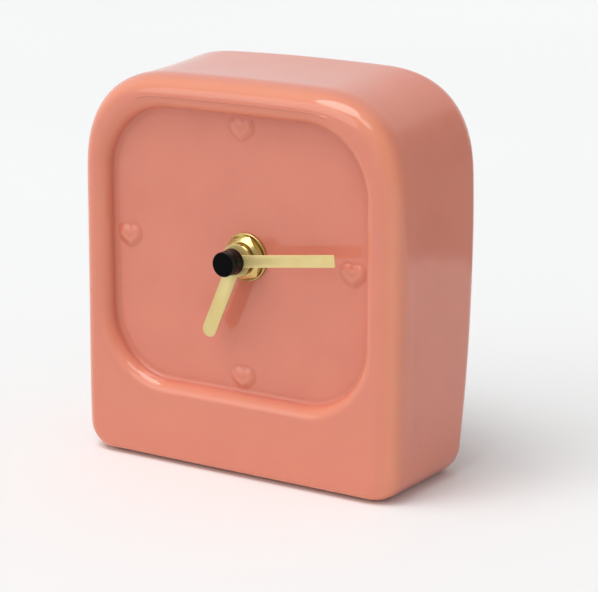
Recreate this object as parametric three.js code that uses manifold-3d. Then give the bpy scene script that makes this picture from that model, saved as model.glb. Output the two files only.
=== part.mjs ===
// A small table clock: a slip-cast porcelain case with a sunk dial and four raised hearts, two brass
// hands, and a battery quartz movement held behind the dial by the nut on its threaded bush.
// Lengths are millimetres. In this file +X is to the right, +Y is up and +Z comes out of the dial.
// The exported group is turned so that the clock stands on Z = 0 with its dial facing -Y.
import * as THREE from 'three';
import { mergeVertices } from 'three/addons/utils/BufferGeometryUtils.js';
import Module from 'manifold-3d';

const wasm = await Module();
wasm.setup();

// Case
const caseWidth = 110.2;
const caseHeight = 117.4;
const caseDepth = 48.8;
const sideBow = 0.85; // how far each side bulges at mid height
const topBow = 1.5; // how far the top bulges in the middle
const topRise = 2.8; // how much higher the top is at the back than at the front
const topCorner = 31;
const topCornerPower = 2.69; // 2 would be a circle, more is squarer
const bottomCorner = 7.5;
const frontEaseIn = 6.2; // front edge rounding, measured in the front plane
const frontEaseBack = 9; // the same rounding, measured front to back
const backEase = 7.3;
const footEase = 1.8; // small rounding where the front and back meet the underside
const backLean = 5.2; // how much further back the top of the back is than its bottom
const backBulge = 4; // how far the back curves in towards its top and bottom
const straightDepth = 12; // the back's curve starts this far behind the front
const caseWall = 4.4;
const cavityEase = 3;

// Dial
const dialWidth = 89;
const dialHeight = 82;
const dialBottom = 25.1;
const dialCorner = 20.4;
const dialSink = 4.85;
const dialWall = 4.4;
const lipEase = 4.1; // the frame's inner rounding, measured in the front plane
const heartWidth = 8.4;
const heartHeight = 7;
const heartRelief = 0.9;
const heartRounding = 0.7;
const heartFromSide = 5.4; // from the dial's left and right edges to the hearts' middles
const heartFromEnd = 4.1; // from the dial's top and bottom edges to the hearts' middles
const heartShift = 1.3; // the top and bottom hearts sit this far right of the middle
const heartTilt = 1.1; // the left heart sits this far above the middle, and the right one below it
const hubX = 3;
const hubY = 65.9;

// Back opening
const openingWidth = 78;
const openingHeight = 76;
const openingCorner = 12;
const openingBottom = 24;

// Movement housing
const housingAbove = 28; // from the hub to the housing's top edge
const housingDepth = 16.5;
const housingCorner = 4;
const housingWall = 1.2;
const plateThickness = 1.6;
const coverThickness = 1.4;
const bayFloor = 1;
const batteryDiameter = 14.2;
const batteryLength = 50.5;
const batteryButtonRadius = 2.75;
const batteryButtonLength = 1.2;
const batteryPlay = 0.3;
const contactRoom = 1.55; // between each end of the cell and the housing's wall
const trainRoom = 0.86; // between the centre wheel's teeth and the wall over the bay

// Fixing and hands, from the dial outwards
const seatGap = 0.05; // between faces that bear on each other
const runningGap = 0.08; // between a turning piece and what it turns in or on
const shakeGap = 0.2; // end play of a turning piece
const gasketThickness = 0.8;
const gasketRadius = 11;
const gasketPlay = 0.2;
const bushRadius = 4;
const bushBore = 2.6;
const bushProud = 4.6; // how far the bush stands out of the dial
const bushFlangeRadius = 6;
const bushFlange = 0.8;
const bushChamfer = 0.4;
const boreClearance = 0.6; // between the bush and the hole through the porcelain
const washerRadius = 7.1;
const washerThickness = 1;
const washerPlay = 0.15;
const nutAcrossFlats = 12;
const nutThickness = 2.4;
const nutFaceRadius = 5.1; // where the nut's front face turns into its chamfer
const nutTurn = 12; // degrees, how far the nut's corners are turned from the dial's axes
const hourTubeRadius = 2.5;
const hourHandHeight = 5.4; // underside of the hand above the dial
const hourHandLength = 26;
const hourHandWidth = 4.7;
const hourHandHub = 4.8;
const hourHandAngle = 203.7; // clockwise from twelve, degrees
const cannonRadius = 1.7;
const minuteHandHeight = 7;
const minuteHandLength = 34.8;
const minuteHandWidth = 3.6;
const minuteHandHub = 3.2;
const minuteHandTip = 0.5; // rounding of the end's corners
const minuteHandAngle = 82.7;
const handThickness = 0.4;
const handStep = 0.3; // shoulder that each hand sits on
const handGrip = 0.7; // how far the hour tube stands through its hand
const capGrip = 2; // how far the minute tube stands through its hand and into the cap
const capRadius = 3.65;
const capLength = 4.9;
const capGrooveDepth = 0.4;
const capGrooveWidth = 0.5;
const capGrooveHeight = 2.9;
const capEase = 0.3;
const capFlangeRadius = 3.9;
const capFlange = 0.7; // how thick the cap's rear flange is

// Wheels: teeth, tooth size (module), and the depths of the layers behind the housing's front face
const toothTip = 0.85; // tooth height outside the pitch circle, in modules
const toothRoot = 1.2; // tooth depth inside the pitch circle, in modules
const tipShare = 0.12; // half the tooth's width at its tip, as a share of the pitch
const rootShare = 0.27;
const cannonTeeth = 10;
const motionTeeth = 30;
const motionPinionTeeth = 8;
const hourTeeth = 32;
const settingTeeth = 10;
const centreTeeth = 48;
const thirdPinionTeeth = 6;
const thirdTeeth = 45;
const secondsPinionTeeth = 6;
const secondsTeeth = 30;
const fifthPinionTeeth = 6;
const fifthTeeth = 36;
const rotorTeeth = 6;
const motionModule = 0.48;
const centreModule = 0.4;
const secondsModule = 0.47;
const rotorModule = 0.4;
const motionDirection = 170; // from the hub, degrees anticlockwise from +X
const settingDirection = 150; // from the motion wheel
const thirdDirection = 115; // from the hub
const fifthDirection = 20; // from the hub
const rotorDirection = 60; // from the fifth wheel
const wheelThickness = 0.8;
const plateGap = 0.3;
const motionGap = 0.5;
const wheelGap = 0.8;
const bridgeGap = 0.4;
const hourLayer = plateThickness + plateGap;
const motionLayer = hourLayer + wheelThickness + motionGap;
const centreLayer = motionLayer + wheelThickness + wheelGap;
const thirdLayer = centreLayer + wheelThickness + wheelGap;
const bridgeLayer = thirdLayer + wheelThickness + bridgeGap;
const bridgeThickness = 0.6;
const bridgeMargin = 0.3;
const bridgeRim = 0.2; // outside the pillars
const bridgeAboveRotor = 2.2;
const secondsLayer = bridgeLayer + bridgeThickness + bridgeGap;
const fifthLayer = 11.6;
const pinionOverlap = 0.3; // how far a pinion reaches past the wheel that it drives
const joinOverlap = 0.2; // how far shapes that are joined reach into each other
const postRoot = 0.5; // how deep a post's foot sits in its plate
const arborRadius = 0.55;
const pivotRadius = 0.35;
const pivotLength = 1.1;
const bearingRadius = 1.1;
const studRadius = 0.9;
const pillarRadius = 1.4;
const pillarGap = 0.8; // between a pillar and the centre wheel's teeth
const bridgeHoleRadius = 2.2; // lets the seconds pinion through when it is put together
const thirdHoleRadius = 3.5; // clears the third wheel's arbor
const settingArborRadius = 1;
const settingPivotLength = 0.9;
const knobGap = 0.3; // between the knob and the housing's back
const knobRadius = 5;
const knobLength = 2.5;
const knobFlutes = 14;
const knobFluteRadius = 0.6;

// Motor and electronics
const magnetRadius = 3;
const magnetLength = 2.2;
const magnetLayer = secondsLayer + 0.1;
const statorGap = 0.8; // air gap round the magnet
const statorRim = 1.8;
const laminationThickness = 0.8;
const coilSpan = 15.5; // between the stator's two arms
const armWidth = 3.4;
const coreWidth = 3;
const bobbinGap = 0.3; // between the bobbin and each arm
const bobbinWall = 0.6;
const bobbinFlange = 0.8;
const bobbinSize = 6.6;
const windingDepth = 1.2;
const windingHeight = 0.8;
const coilFromTop = 5.4; // from the housing's top edge to the coil's middle
const boardFromPillar = 1.9157;
const boardHeight = 26;
const boardThickness = 1;
const boardLayer = 3.2;
const boardMargin = 0.4;
const crystalRadius = 1;
const crystalLength = 6;
const crystalFromEdge = 3;
const chipRadius = 2.6;
const chipHeight = 1;
const chipFromEdge = 3.6;
const chipFromBottom = 9;
const contactThickness = 0.4;
const contactHeight = 8;
const contactBreadth = 5.333;
const contactNose = 0.8;
const contactNoseHeight = 2.8;

// Places worked out from the sizes above
const frontZ = caseDepth / 2;
const dialZ = frontZ - dialSink;
const housingZ = -(dialWall + gasketThickness + 2 * seatGap); // from the dial face
const halfHousing = batteryLength / 2 + contactRoom + housingWall;
const innerHalf = halfHousing - housingWall;
const innerTop = housingAbove - housingWall;
const centreReach = centreModule * (centreTeeth / 2 + toothTip);
const trainBottom = -centreReach - trainRoom;
const bayTop = trainBottom - housingWall;
const bayBottom = bayTop - batteryDiameter - 2 * batteryPlay;
const housingBottom = bayBottom - housingWall;
const coverLayer = housingDepth - coverThickness;
const motionDistance = (motionModule * (cannonTeeth + motionTeeth)) / 2;
const motionPinionModule = (2 * motionDistance) / (motionPinionTeeth + hourTeeth);
const settingDistance = (motionModule * (settingTeeth + motionTeeth)) / 2;
const thirdDistance = (centreModule * (centreTeeth + thirdPinionTeeth)) / 2;
const thirdModule = (2 * thirdDistance) / (thirdTeeth + secondsPinionTeeth);
const fifthDistance = (secondsModule * (secondsTeeth + fifthPinionTeeth)) / 2;
const rotorDistance = (rotorModule * (fifthTeeth + rotorTeeth)) / 2;
const motionPlace = polar(motionDistance, motionDirection);
const settingPlace = polar(settingDistance, settingDirection, motionPlace);
const thirdPlace = polar(thirdDistance, thirdDirection);
const fifthPlace = polar(fifthDistance, fifthDirection);
const rotorPlace = polar(rotorDistance, rotorDirection, fifthPlace);

const materials = {
  glaze: finish(0xd8897a, 0.12, 0),
  brass: finish(0xdecb85, 0.3, 1),
  gold: finish(0xcaa552, 0.25, 1),
  blackCap: finish(0x0c0d10, 0.15, 0),
  blackPlastic: finish(0x17181a, 0.5, 0),
  whitePlastic: finish(0xe8e6df, 0.45, 0),
  rubber: finish(0x222222, 0.9, 0),
  steel: finish(0xb9bcc0, 0.35, 1),
  magnet: finish(0x55565a, 0.5, 0.6),
  copper: finish(0xb4602c, 0.35, 1),
  board: finish(0x2f6b3c, 0.5, 0),
  battery: finish(0x3c4a57, 0.4, 0.3),
};

function finish(color, roughness, metalness) {
  return new THREE.MeshStandardMaterial({ color, roughness, metalness });
}

function polar(distance, degrees, from = { x: 0, y: 0 }) {
  const angle = THREE.MathUtils.degToRad(degrees);
  return { x: from.x + distance * Math.cos(angle), y: from.y + distance * Math.sin(angle) };
}

// A closed three.js geometry as a solid that can be joined and cut.
function solid(geometry) {
  const bare = geometry.clone();
  bare.deleteAttribute('normal');
  bare.deleteAttribute('uv');
  const merged = mergeVertices(bare, 1e-4);
  const corners = merged.index.array;
  const kept = [];
  for (let i = 0; i < corners.length; i += 3) {
    const [a, b, c] = [corners[i], corners[i + 1], corners[i + 2]];
    if (a !== b && b !== c && c !== a) kept.push(a, b, c);
  }
  const vertProperties = new Float32Array(merged.attributes.position.array);
  const triVerts = new Uint32Array(kept);
  return new wasm.Manifold(new wasm.Mesh({ numProp: 3, vertProperties, triVerts }));
}

function join(first, ...others) {
  return others.reduce((sum, other) => sum.add(other), first);
}

function cut(first, ...others) {
  return others.reduce((rest, other) => rest.subtract(other), first);
}

function toGeometry(manifold) {
  const { vertProperties, triVerts } = manifold.getMesh();
  const geometry = new THREE.BufferGeometry();
  geometry.setAttribute('position', new THREE.BufferAttribute(vertProperties, 3));
  geometry.setIndex(new THREE.BufferAttribute(triVerts, 1));
  geometry.computeVertexNormals();
  return geometry;
}

// A turned solid about Z. The profile is a list of [radius, z], anticlockwise with z upwards.
function turned(profile, sides = 24) {
  const points = profile.map(([radius, z]) => new THREE.Vector2(radius, z));
  return solid(new THREE.LatheGeometry(points, sides).rotateX(Math.PI / 2));
}

function rod(radius, back, front, sides = 24) {
  return turned([[0, back], [radius, back], [radius, front], [0, front]], sides);
}

function ring(inner, outer, back, front, sides = 24) {
  return turned([[inner, back], [outer, back], [outer, front], [inner, front], [inner, back]], sides);
}

function prism(shape, back, front, curveSegments = 4) {
  const options = { depth: front - back, bevelEnabled: false, curveSegments };
  return solid(new THREE.ExtrudeGeometry(shape, options)).translate([0, 0, back]);
}

function block(left, right, bottom, top, back, front) {
  const geometry = new THREE.BoxGeometry(right - left, top - bottom, front - back);
  return solid(geometry).translate([(left + right) / 2, (bottom + top) / 2, (back + front) / 2]);
}

function polygon(points) {
  return new THREE.Shape(points.map(([x, y]) => new THREE.Vector2(x, y)));
}

function roundedRectangle(left, right, bottom, top, radius) {
  const shape = new THREE.Shape();
  shape.moveTo(right - radius, bottom);
  shape.absarc(right - radius, bottom + radius, radius, -Math.PI / 2, 0, false);
  shape.absarc(right - radius, top - radius, radius, 0, Math.PI / 2, false);
  shape.absarc(left + radius, top - radius, radius, Math.PI / 2, Math.PI, false);
  shape.absarc(left + radius, bottom + radius, radius, Math.PI, 1.5 * Math.PI, false);
  return shape;
}

// A solid through a list of rings of equal length, from the front ring to the back one, each ring
// anticlockwise as seen from the front. Each end is closed on its own middle point.
function loft(rings) {
  const positions = [];
  const triangles = [];
  const count = rings[0].length;
  for (const points of rings) for (const point of points) positions.push(...point);
  const middle = (points) => {
    const sum = points.reduce((total, p) => total.map((value, i) => value + p[i]), [0, 0, 0]);
    positions.push(...sum.map((value) => value / count));
    return positions.length / 3 - 1;
  };
  const last = (rings.length - 1) * count;
  const frontMiddle = middle(rings[0]);
  const backMiddle = middle(rings[rings.length - 1]);
  for (let j = 0; j < count; j++) {
    const next = (j + 1) % count;
    triangles.push(frontMiddle, j, next);
    triangles.push(backMiddle, last + next, last + j);
    for (let i = 0; i < last; i += count) {
      triangles.push(i + j, i + count + j, i + next);
      triangles.push(i + count + j, i + count + next, i + next);
    }
  }
  const geometry = new THREE.BufferGeometry();
  geometry.setAttribute('position', new THREE.Float32BufferAttribute(positions, 3));
  geometry.setIndex(triangles);
  return solid(geometry);
}

// Points from start to end, without the end, so that runs can follow each other.
function run(start, end, steps) {
  return Array.from({ length: steps }, (_, i) => [
    start[0] + ((end[0] - start[0]) * i) / steps,
    start[1] + ((end[1] - start[1]) * i) / steps,
  ]);
}

function corner(centre, size, power, startQuarter, steps) {
  return Array.from({ length: steps }, (_, i) => {
    const angle = ((startQuarter + i / steps) * Math.PI) / 2;
    const reach = (value) => Math.sign(value) * Math.abs(value) ** (2 / power) * size;
    return [centre[0] + reach(Math.cos(angle)), centre[1] + reach(Math.sin(angle))];
  });
}

// The case's outline, seen from the front: square-set feet, full round shoulders, a slight bow.
function caseOutline(inset, bottom, rise) {
  const half = caseWidth / 2 - inset;
  const top = caseHeight - topBow - inset + rise;
  const low = Math.max(bottomCorner - inset, 1);
  const high = Math.max(topCorner - inset, 1);
  const points = [
    ...run([low - half, bottom], [half - low, bottom], 4),
    ...corner([half - low, bottom + low], low, 2, 3, 4),
    ...run([half, bottom + low], [half, top - high], 5),
    ...corner([half - high, top - high], high, topCornerPower, 0, 8),
    ...run([half - high, top], [high - half, top], 4),
    ...corner([high - half, top - high], high, topCornerPower, 1, 8),
    ...run([-half, top - high], [-half, bottom + low], 5),
    ...corner([low - half, bottom + low], low, 2, 2, 4),
  ];
  return points.map(([x, y]) => {
    const height = (2 * y) / caseHeight - 1;
    const wider = 1 + (sideBow * (1 - Math.min(1, height ** 2))) / half;
    const higher = topBow * (1 - (x / half) ** 2) * THREE.MathUtils.clamp(height, 0, 1);
    return [x * wider, y + higher];
  });
}

// Where a point of the case ends up once the back has its lean and bulge.
function casePoint([x, y], depth) {
  const share = Math.max(0, (depth - straightDepth) / (caseDepth - straightDepth));
  const height = y / caseHeight;
  const shift = backLean * (height - 0.5) - backBulge * (2 * height - 1) ** 2;
  return [x, y, frontZ - depth - share * shift];
}

function caseSlice(depth, inset, wall = 0) {
  const fromEnd = Math.min(depth, caseDepth - depth);
  const away = footEase - Math.min(fromEnd, footEase);
  const foot = wall > 0 ? inset : footEase - Math.sqrt(footEase ** 2 - away ** 2);
  const rise = topRise * (depth / caseDepth) ** 2;
  return caseOutline(inset, foot, rise).map((point) => casePoint(point, depth));
}

// The outside, from the front face round the front edge, along the sides and round the back edge.
function caseOutside() {
  const slices = [];
  const turn = (i, steps) => ((i / steps) * Math.PI) / 2;
  for (let i = 0; i <= 6; i++) {
    const angle = turn(i, 6);
    slices.push(caseSlice(frontEaseBack * (1 - Math.cos(angle)), frontEaseIn * (1 - Math.sin(angle))));
  }
  const sideLength = caseDepth - frontEaseBack - backEase;
  for (let i = 1; i < 5; i++) slices.push(caseSlice(frontEaseBack + (sideLength * i) / 5, 0));
  for (let i = 0; i <= 5; i++) {
    const angle = turn(i, 5);
    const depth = caseDepth - backEase * (1 - Math.sin(angle));
    slices.push(caseSlice(depth, backEase * (1 - Math.cos(angle))));
  }
  const edge = caseOutline(backEase, footEase, topRise);
  const middle = [0, caseHeight / 2];
  for (const share of [0.72, 0.4]) {
    const inner = edge.map((p) => [p[0] * share, middle[1] + (p[1] - middle[1]) * share]);
    slices.push(inner.map((point) => casePoint(point, caseDepth)));
  }
  return loft(slices);
}

// The hollow behind the dial. Its front face is flat, because the movement bears on it.
function caseCavity() {
  const front = dialSink + dialWall;
  const back = caseDepth - caseWall;
  const slices = [];
  for (let i = 0; i <= 2; i++) {
    const angle = (i * Math.PI) / 4;
    const inset = caseWall + cavityEase * (1 - Math.sin(angle));
    slices.push(caseSlice(front + cavityEase * (1 - Math.cos(angle)), inset, caseWall));
  }
  slices.push(caseSlice((front + back) / 2, caseWall, caseWall));
  for (let i = 0; i <= 2; i++) {
    const angle = (i * Math.PI) / 4;
    const inset = caseWall + cavityEase * (1 - Math.cos(angle));
    slices.push(caseSlice(back - cavityEase * (1 - Math.sin(angle)), inset, caseWall));
  }
  return loft(slices);
}

function dialOutline(outset) {
  const half = dialWidth / 2 + outset;
  const bottom = dialBottom - outset;
  const top = dialBottom + dialHeight + outset;
  const radius = dialCorner + outset;
  return [
    ...run([radius - half, bottom], [half - radius, bottom], 1),
    ...corner([half - radius, bottom + radius], radius, 2, 3, 9),
    ...run([half, bottom + radius], [half, top - radius], 1),
    ...corner([half - radius, top - radius], radius, 2, 0, 9),
    ...run([half - radius, top], [radius - half, top], 1),
    ...corner([radius - half, top - radius], radius, 2, 1, 9),
    ...run([-half, top - radius], [-half, bottom + radius], 1),
    ...corner([radius - half, bottom + radius], radius, 2, 2, 9),
  ];
}

// What is taken out in front of the dial: its side is the frame's rounded inner lip.
function dialRecess() {
  const overcut = 1;
  const steps = 6;
  const at = (outset, z) => dialOutline(outset).map(([x, y]) => [x, y, z]);
  const slices = [at(lipEase, frontZ + overcut)];
  for (let i = 0; i <= steps; i++) {
    const angle = ((i / steps) * Math.PI) / 2;
    slices.push(at(lipEase * (1 - Math.sin(angle)), frontZ - dialSink * (1 - Math.cos(angle))));
  }
  return loft(slices);
}

// A raised heart with its point down and its edge rounded over, rooted in the dial.
function heart(x, y) {
  const half = heartWidth / 2;
  const tip = -heartHeight * 0.55;
  const shoulder = heartHeight * 0.2;
  const notch = heartHeight * 0.27;
  const top = heartHeight * 0.45;
  const shape = new THREE.Shape();
  shape.moveTo(0, tip);
  shape.bezierCurveTo(half * 0.5, tip * 0.6, half, tip * 0.15, half, shoulder);
  shape.bezierCurveTo(half, top, half * 0.15, top * 1.25, 0, notch);
  shape.bezierCurveTo(-half * 0.15, top * 1.25, -half, top, -half, shoulder);
  shape.bezierCurveTo(-half, tip * 0.15, -half * 0.5, tip * 0.6, 0, tip);
  const root = 1;
  const options = {
    depth: root + heartRelief - heartRounding,
    bevelThickness: heartRounding,
    bevelSize: heartRounding,
    bevelOffset: -heartRounding,
    bevelSegments: 2,
    curveSegments: 5,
  };
  return solid(new THREE.ExtrudeGeometry(shape, options)).translate([x, y, dialZ - root]);
}

function hearts() {
  const middleY = dialBottom + dialHeight / 2;
  const acrossX = dialWidth / 2 - heartFromSide;
  const upY = dialHeight / 2 - heartFromEnd;
  return [
    heart(heartShift, middleY + upY),
    heart(heartShift, middleY - upY),
    heart(-acrossX, middleY + heartTilt),
    heart(acrossX, middleY - heartTilt),
  ];
}

function caseShell() {
  const half = openingWidth / 2;
  const top = openingBottom + openingHeight;
  const opening = roundedRectangle(-half, half, openingBottom, top, openingCorner);
  const behind = -caseDepth;
  const boreRadius = bushRadius + boreClearance;
  return cut(
    join(caseOutside().subtract(dialRecess()), ...hearts()),
    caseCavity(),
    prism(opening, behind, 0, 5),
    rod(boreRadius, 0, frontZ).translate([hubX, hubY, 0]),
  );
}

// From here on, z is measured from the dial face and x and y from the hub.

function behindHousingFace(depth) {
  return housingZ - depth;
}

function fixedBush() {
  return turned([
    [bushBore, behindHousingFace(plateThickness)],
    [bushRadius, behindHousingFace(plateThickness)],
    [bushRadius, behindHousingFace(bushFlange)],
    [bushFlangeRadius, behindHousingFace(bushFlange)],
    [bushFlangeRadius, housingZ],
    [bushRadius, housingZ],
    [bushRadius, bushProud - bushChamfer],
    [bushRadius - bushChamfer, bushProud],
    [bushBore, bushProud],
    [bushBore, behindHousingFace(plateThickness)],
  ]);
}

function bushNut() {
  const back = 2 * seatGap + washerThickness;
  const front = back + nutThickness;
  const cornerRadius = nutAcrossFlats / Math.sqrt(3);
  const corners = Array.from({ length: 6 }, (_, i) => polar(cornerRadius, 60 * i + nutTurn));
  const hexagon = prism(polygon(corners.map((p) => [p.x, p.y])), back, front);
  const chamfer = turned([
    [0, back],
    [cornerRadius, back],
    [cornerRadius, front - (cornerRadius - nutFaceRadius)],
    [nutFaceRadius, front],
    [0, front],
  ]);
  return cut(hexagon.intersect(chamfer), rod(bushRadius + seatGap, back - 1, front + 1));
}

function hand(length, width, hubRadius, boreRadius, back, angle, tipRadius) {
  const front = back + handThickness;
  const blade = prism(roundedRectangle(-width / 2, width / 2, -width / 2, length, tipRadius), back, front);
  const eye = rod(boreRadius, back - 1, front + 1);
  return cut(join(blade, rod(hubRadius, back, front)), eye).rotate([0, 0, -angle]);
}

function hourHand() {
  const bore = hourTubeRadius - handStep + seatGap;
  const roundEnd = hourHandWidth / 2 - 0.01;
  return hand(hourHandLength, hourHandWidth, hourHandHub, bore, hourHandHeight, hourHandAngle, roundEnd);
}

function minuteHand() {
  const bore = cannonRadius - handStep + seatGap;
  const [length, width, hubRadius] = [minuteHandLength, minuteHandWidth, minuteHandHub];
  return hand(length, width, hubRadius, bore, minuteHandHeight, minuteHandAngle, minuteHandTip);
}

// The black cap that screws on the end of the minute tube.
function handCap() {
  const back = minuteHandHeight + handThickness + seatGap;
  const front = back + capLength;
  const bore = cannonRadius - handStep + seatGap;
  const boreEnd = minuteHandHeight + handThickness + capGrip + seatGap;
  const groove = back + capGrooveHeight;
  return turned([
    [bore, back],
    [capFlangeRadius, back],
    [capFlangeRadius, back + capFlange],
    [capRadius, back + capFlange + capEase],
    [capRadius, groove],
    [capRadius - capGrooveDepth, groove],
    [capRadius - capGrooveDepth, groove + capGrooveWidth],
    [capRadius, groove + capGrooveWidth],
    [capRadius, front - capEase],
    [capRadius - capEase, front],
    [0, front],
    [0, boreEnd],
    [bore, boreEnd],
    [bore, back],
  ]);
}

// A spur gear's outline, with straight-sided teeth and a tooth at the given angle.
function gearShape(teeth, module, phase) {
  const pitch = (2 * Math.PI) / teeth;
  const middle = (teeth * module) / 2;
  const tip = middle + toothTip * module;
  const root = middle - toothRoot * module;
  const corners = [[root, -rootShare], [tip, -tipShare], [tip, tipShare], [root, rootShare]];
  const points = [];
  for (let i = 0; i < teeth; i++) {
    for (const [radius, share] of corners) {
      const angle = phase + (i + share) * pitch;
      points.push([radius * Math.cos(angle), radius * Math.sin(angle)]);
    }
  }
  return polygon(points);
}

function gear(teeth, module, phase, back, front) {
  return prism(gearShape(teeth, module, phase), back, front);
}

// The angle of a tooth on the second of two gears, so that it meshes with the first.
function meshingPhase(firstTeeth, firstPhase, directionDegrees, secondTeeth) {
  const direction = THREE.MathUtils.degToRad(directionDegrees);
  const firstShare = ((direction - firstPhase) * firstTeeth) / (2 * Math.PI);
  return direction + Math.PI - ((0.5 - firstShare) * 2 * Math.PI) / secondTeeth;
}

const cannonPhase = 0;
const motionPhase = meshingPhase(cannonTeeth, cannonPhase, motionDirection, motionTeeth);
const settingPhase = meshingPhase(motionTeeth, motionPhase, settingDirection, settingTeeth);
const hourPhase = 0;
const motionPinionPhase = meshingPhase(hourTeeth, hourPhase, motionDirection, motionPinionTeeth);
const centrePhase = 0;
const thirdPinionPhase = meshingPhase(centreTeeth, centrePhase, thirdDirection, thirdPinionTeeth);
const secondsPinionPhase = 0;
const thirdPhase = meshingPhase(secondsPinionTeeth, secondsPinionPhase, thirdDirection, thirdTeeth);
const secondsPhase = 0;
const fifthPinionPhase = meshingPhase(secondsTeeth, secondsPhase, fifthDirection, fifthPinionTeeth);
const fifthPhase = 0;
const rotorPhase = meshingPhase(fifthTeeth, fifthPhase, rotorDirection, rotorTeeth);

function layer(depth) {
  return [behindHousingFace(depth + wheelThickness), behindHousingFace(depth)];
}

// The part of an arbor that is thinned at one end to run in its bearing.
function pivot(shoulderDepth, pointsBack) {
  const shoulder = behindHousingFace(shoulderDepth);
  return pointsBack
    ? rod(pivotRadius, shoulder - pivotLength, shoulder + joinOverlap, 12)
    : rod(pivotRadius, shoulder - joinOverlap, shoulder + pivotLength, 12);
}

const rearShoulder = coverLayer - bearingRadius;

function hourWheel() {
  const [back, front] = layer(hourLayer);
  const bore = cannonRadius + runningGap;
  const tubeTop = hourHandHeight + handThickness + handGrip;
  const tube = turned([
    [bore, back],
    [hourTubeRadius, back],
    [hourTubeRadius, hourHandHeight - seatGap],
    [hourTubeRadius - handStep, hourHandHeight - seatGap],
    [hourTubeRadius - handStep, tubeTop],
    [bore, tubeTop],
    [bore, back],
  ]);
  return cut(join(gear(hourTeeth, motionPinionModule, hourPhase, back, front), tube), rod(bore, back - 1, tubeTop + 1));
}

function minuteCannon() {
  const back = behindHousingFace(centreLayer + wheelThickness + shakeGap);
  const pinionBack = behindHousingFace(motionLayer + wheelThickness + pinionOverlap);
  const pinionFront = behindHousingFace(hourLayer + wheelThickness + shakeGap);
  const top = minuteHandHeight + handThickness + capGrip;
  const bore = arborRadius + runningGap;
  const tube = turned([
    [0, back],
    [cannonRadius, back],
    [cannonRadius, minuteHandHeight - seatGap],
    [cannonRadius - handStep, minuteHandHeight - seatGap],
    [cannonRadius - handStep, top],
    [0, top],
  ]);
  const pinion = gear(cannonTeeth, motionModule, cannonPhase, pinionBack, pinionFront);
  return cut(join(tube, pinion), rod(bore, back - 1, top + 1, 12));
}

// The wheel between the minute tube and the hour wheel, which runs on a stud of the housing.
function motionWheel() {
  const [back, front] = layer(motionLayer);
  const pinionFront = behindHousingFace(hourLayer - shakeGap / 2);
  const wheel = gear(motionTeeth, motionModule, motionPhase, back, front);
  const pinion = gear(motionPinionTeeth, motionPinionModule, motionPinionPhase, back, pinionFront);
  return cut(join(wheel, pinion), rod(studRadius + runningGap, back - 1, pinionFront + 1, 16));
}

function settingWheel() {
  const pinionBack = behindHousingFace(motionLayer + wheelThickness + pinionOverlap);
  const pinionFront = behindHousingFace(motionLayer - pinionOverlap);
  const knobFront = behindHousingFace(housingDepth + knobGap);
  const knobBack = knobFront - knobLength;
  const flutes = Array.from({ length: knobFlutes }, (_, i) => {
    const place = polar(knobRadius + knobFluteRadius / 2, (360 / knobFlutes) * i);
    return rod(knobFluteRadius, knobBack - 1, knobFront + 1, 8).translate([place.x, place.y, 0]);
  });
  const knob = cut(rod(knobRadius, knobBack, knobFront, 28), ...flutes);
  const frontShoulder = plateThickness + shakeGap / 2;
  const arbor = rod(settingArborRadius, knobFront - joinOverlap, behindHousingFace(frontShoulder), 16);
  const pinion = gear(settingTeeth, motionModule, settingPhase, pinionBack, pinionFront);
  const pivotBack = behindHousingFace(frontShoulder) - joinOverlap;
  const pivotFront = behindHousingFace(plateThickness - settingPivotLength);
  const frontPivot = rod(pivotRadius, pivotBack, pivotFront, 12);
  return join(arbor, pinion, knob, frontPivot);
}

function centreWheel() {
  const [back, front] = layer(centreLayer);
  const bore = rod(cannonRadius + runningGap, back - 1, front + 1);
  return cut(gear(centreTeeth, centreModule, centrePhase, back, front), bore);
}

const thirdFrontShoulder = centreLayer - pinionOverlap;

function thirdWheel() {
  const [back, front] = layer(thirdLayer);
  const pinionFront = behindHousingFace(thirdFrontShoulder);
  return join(
    gear(thirdTeeth, thirdModule, thirdPhase, back, front),
    gear(thirdPinionTeeth, centreModule, thirdPinionPhase, front - joinOverlap, pinionFront),
    rod(arborRadius, behindHousingFace(rearShoulder), pinionFront, 12),
    pivot(rearShoulder, true),
    pivot(thirdFrontShoulder, false),
  );
}

function secondsWheel() {
  const [back, front] = layer(secondsLayer);
  const pinionBack = behindHousingFace(thirdLayer + wheelThickness + pinionOverlap / 2);
  const pinionFront = behindHousingFace(thirdLayer - pinionOverlap / 2);
  const arborFront = minuteHandHeight;
  return join(
    gear(secondsTeeth, secondsModule, secondsPhase, back, front),
    gear(secondsPinionTeeth, thirdModule, secondsPinionPhase, pinionBack, pinionFront),
    rod(arborRadius, behindHousingFace(rearShoulder), arborFront, 12),
    pivot(rearShoulder, true),
  );
}

const bridgeBack = bridgeLayer + bridgeThickness;
const fifthFrontShoulder = bridgeBack + shakeGap / 2;

function fifthWheel() {
  const [back, front] = layer(fifthLayer);
  const pinionFront = behindHousingFace(secondsLayer - shakeGap);
  const shoulder = behindHousingFace(fifthFrontShoulder);
  return join(
    gear(fifthTeeth, rotorModule, fifthPhase, back, front),
    gear(fifthPinionTeeth, secondsModule, fifthPinionPhase, front - joinOverlap, pinionFront),
    rod(arborRadius, behindHousingFace(rearShoulder), shoulder, 12),
    rod(pivotRadius, shoulder - joinOverlap, shoulder + bridgeThickness, 12),
    pivot(rearShoulder, true),
  );
}

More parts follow.
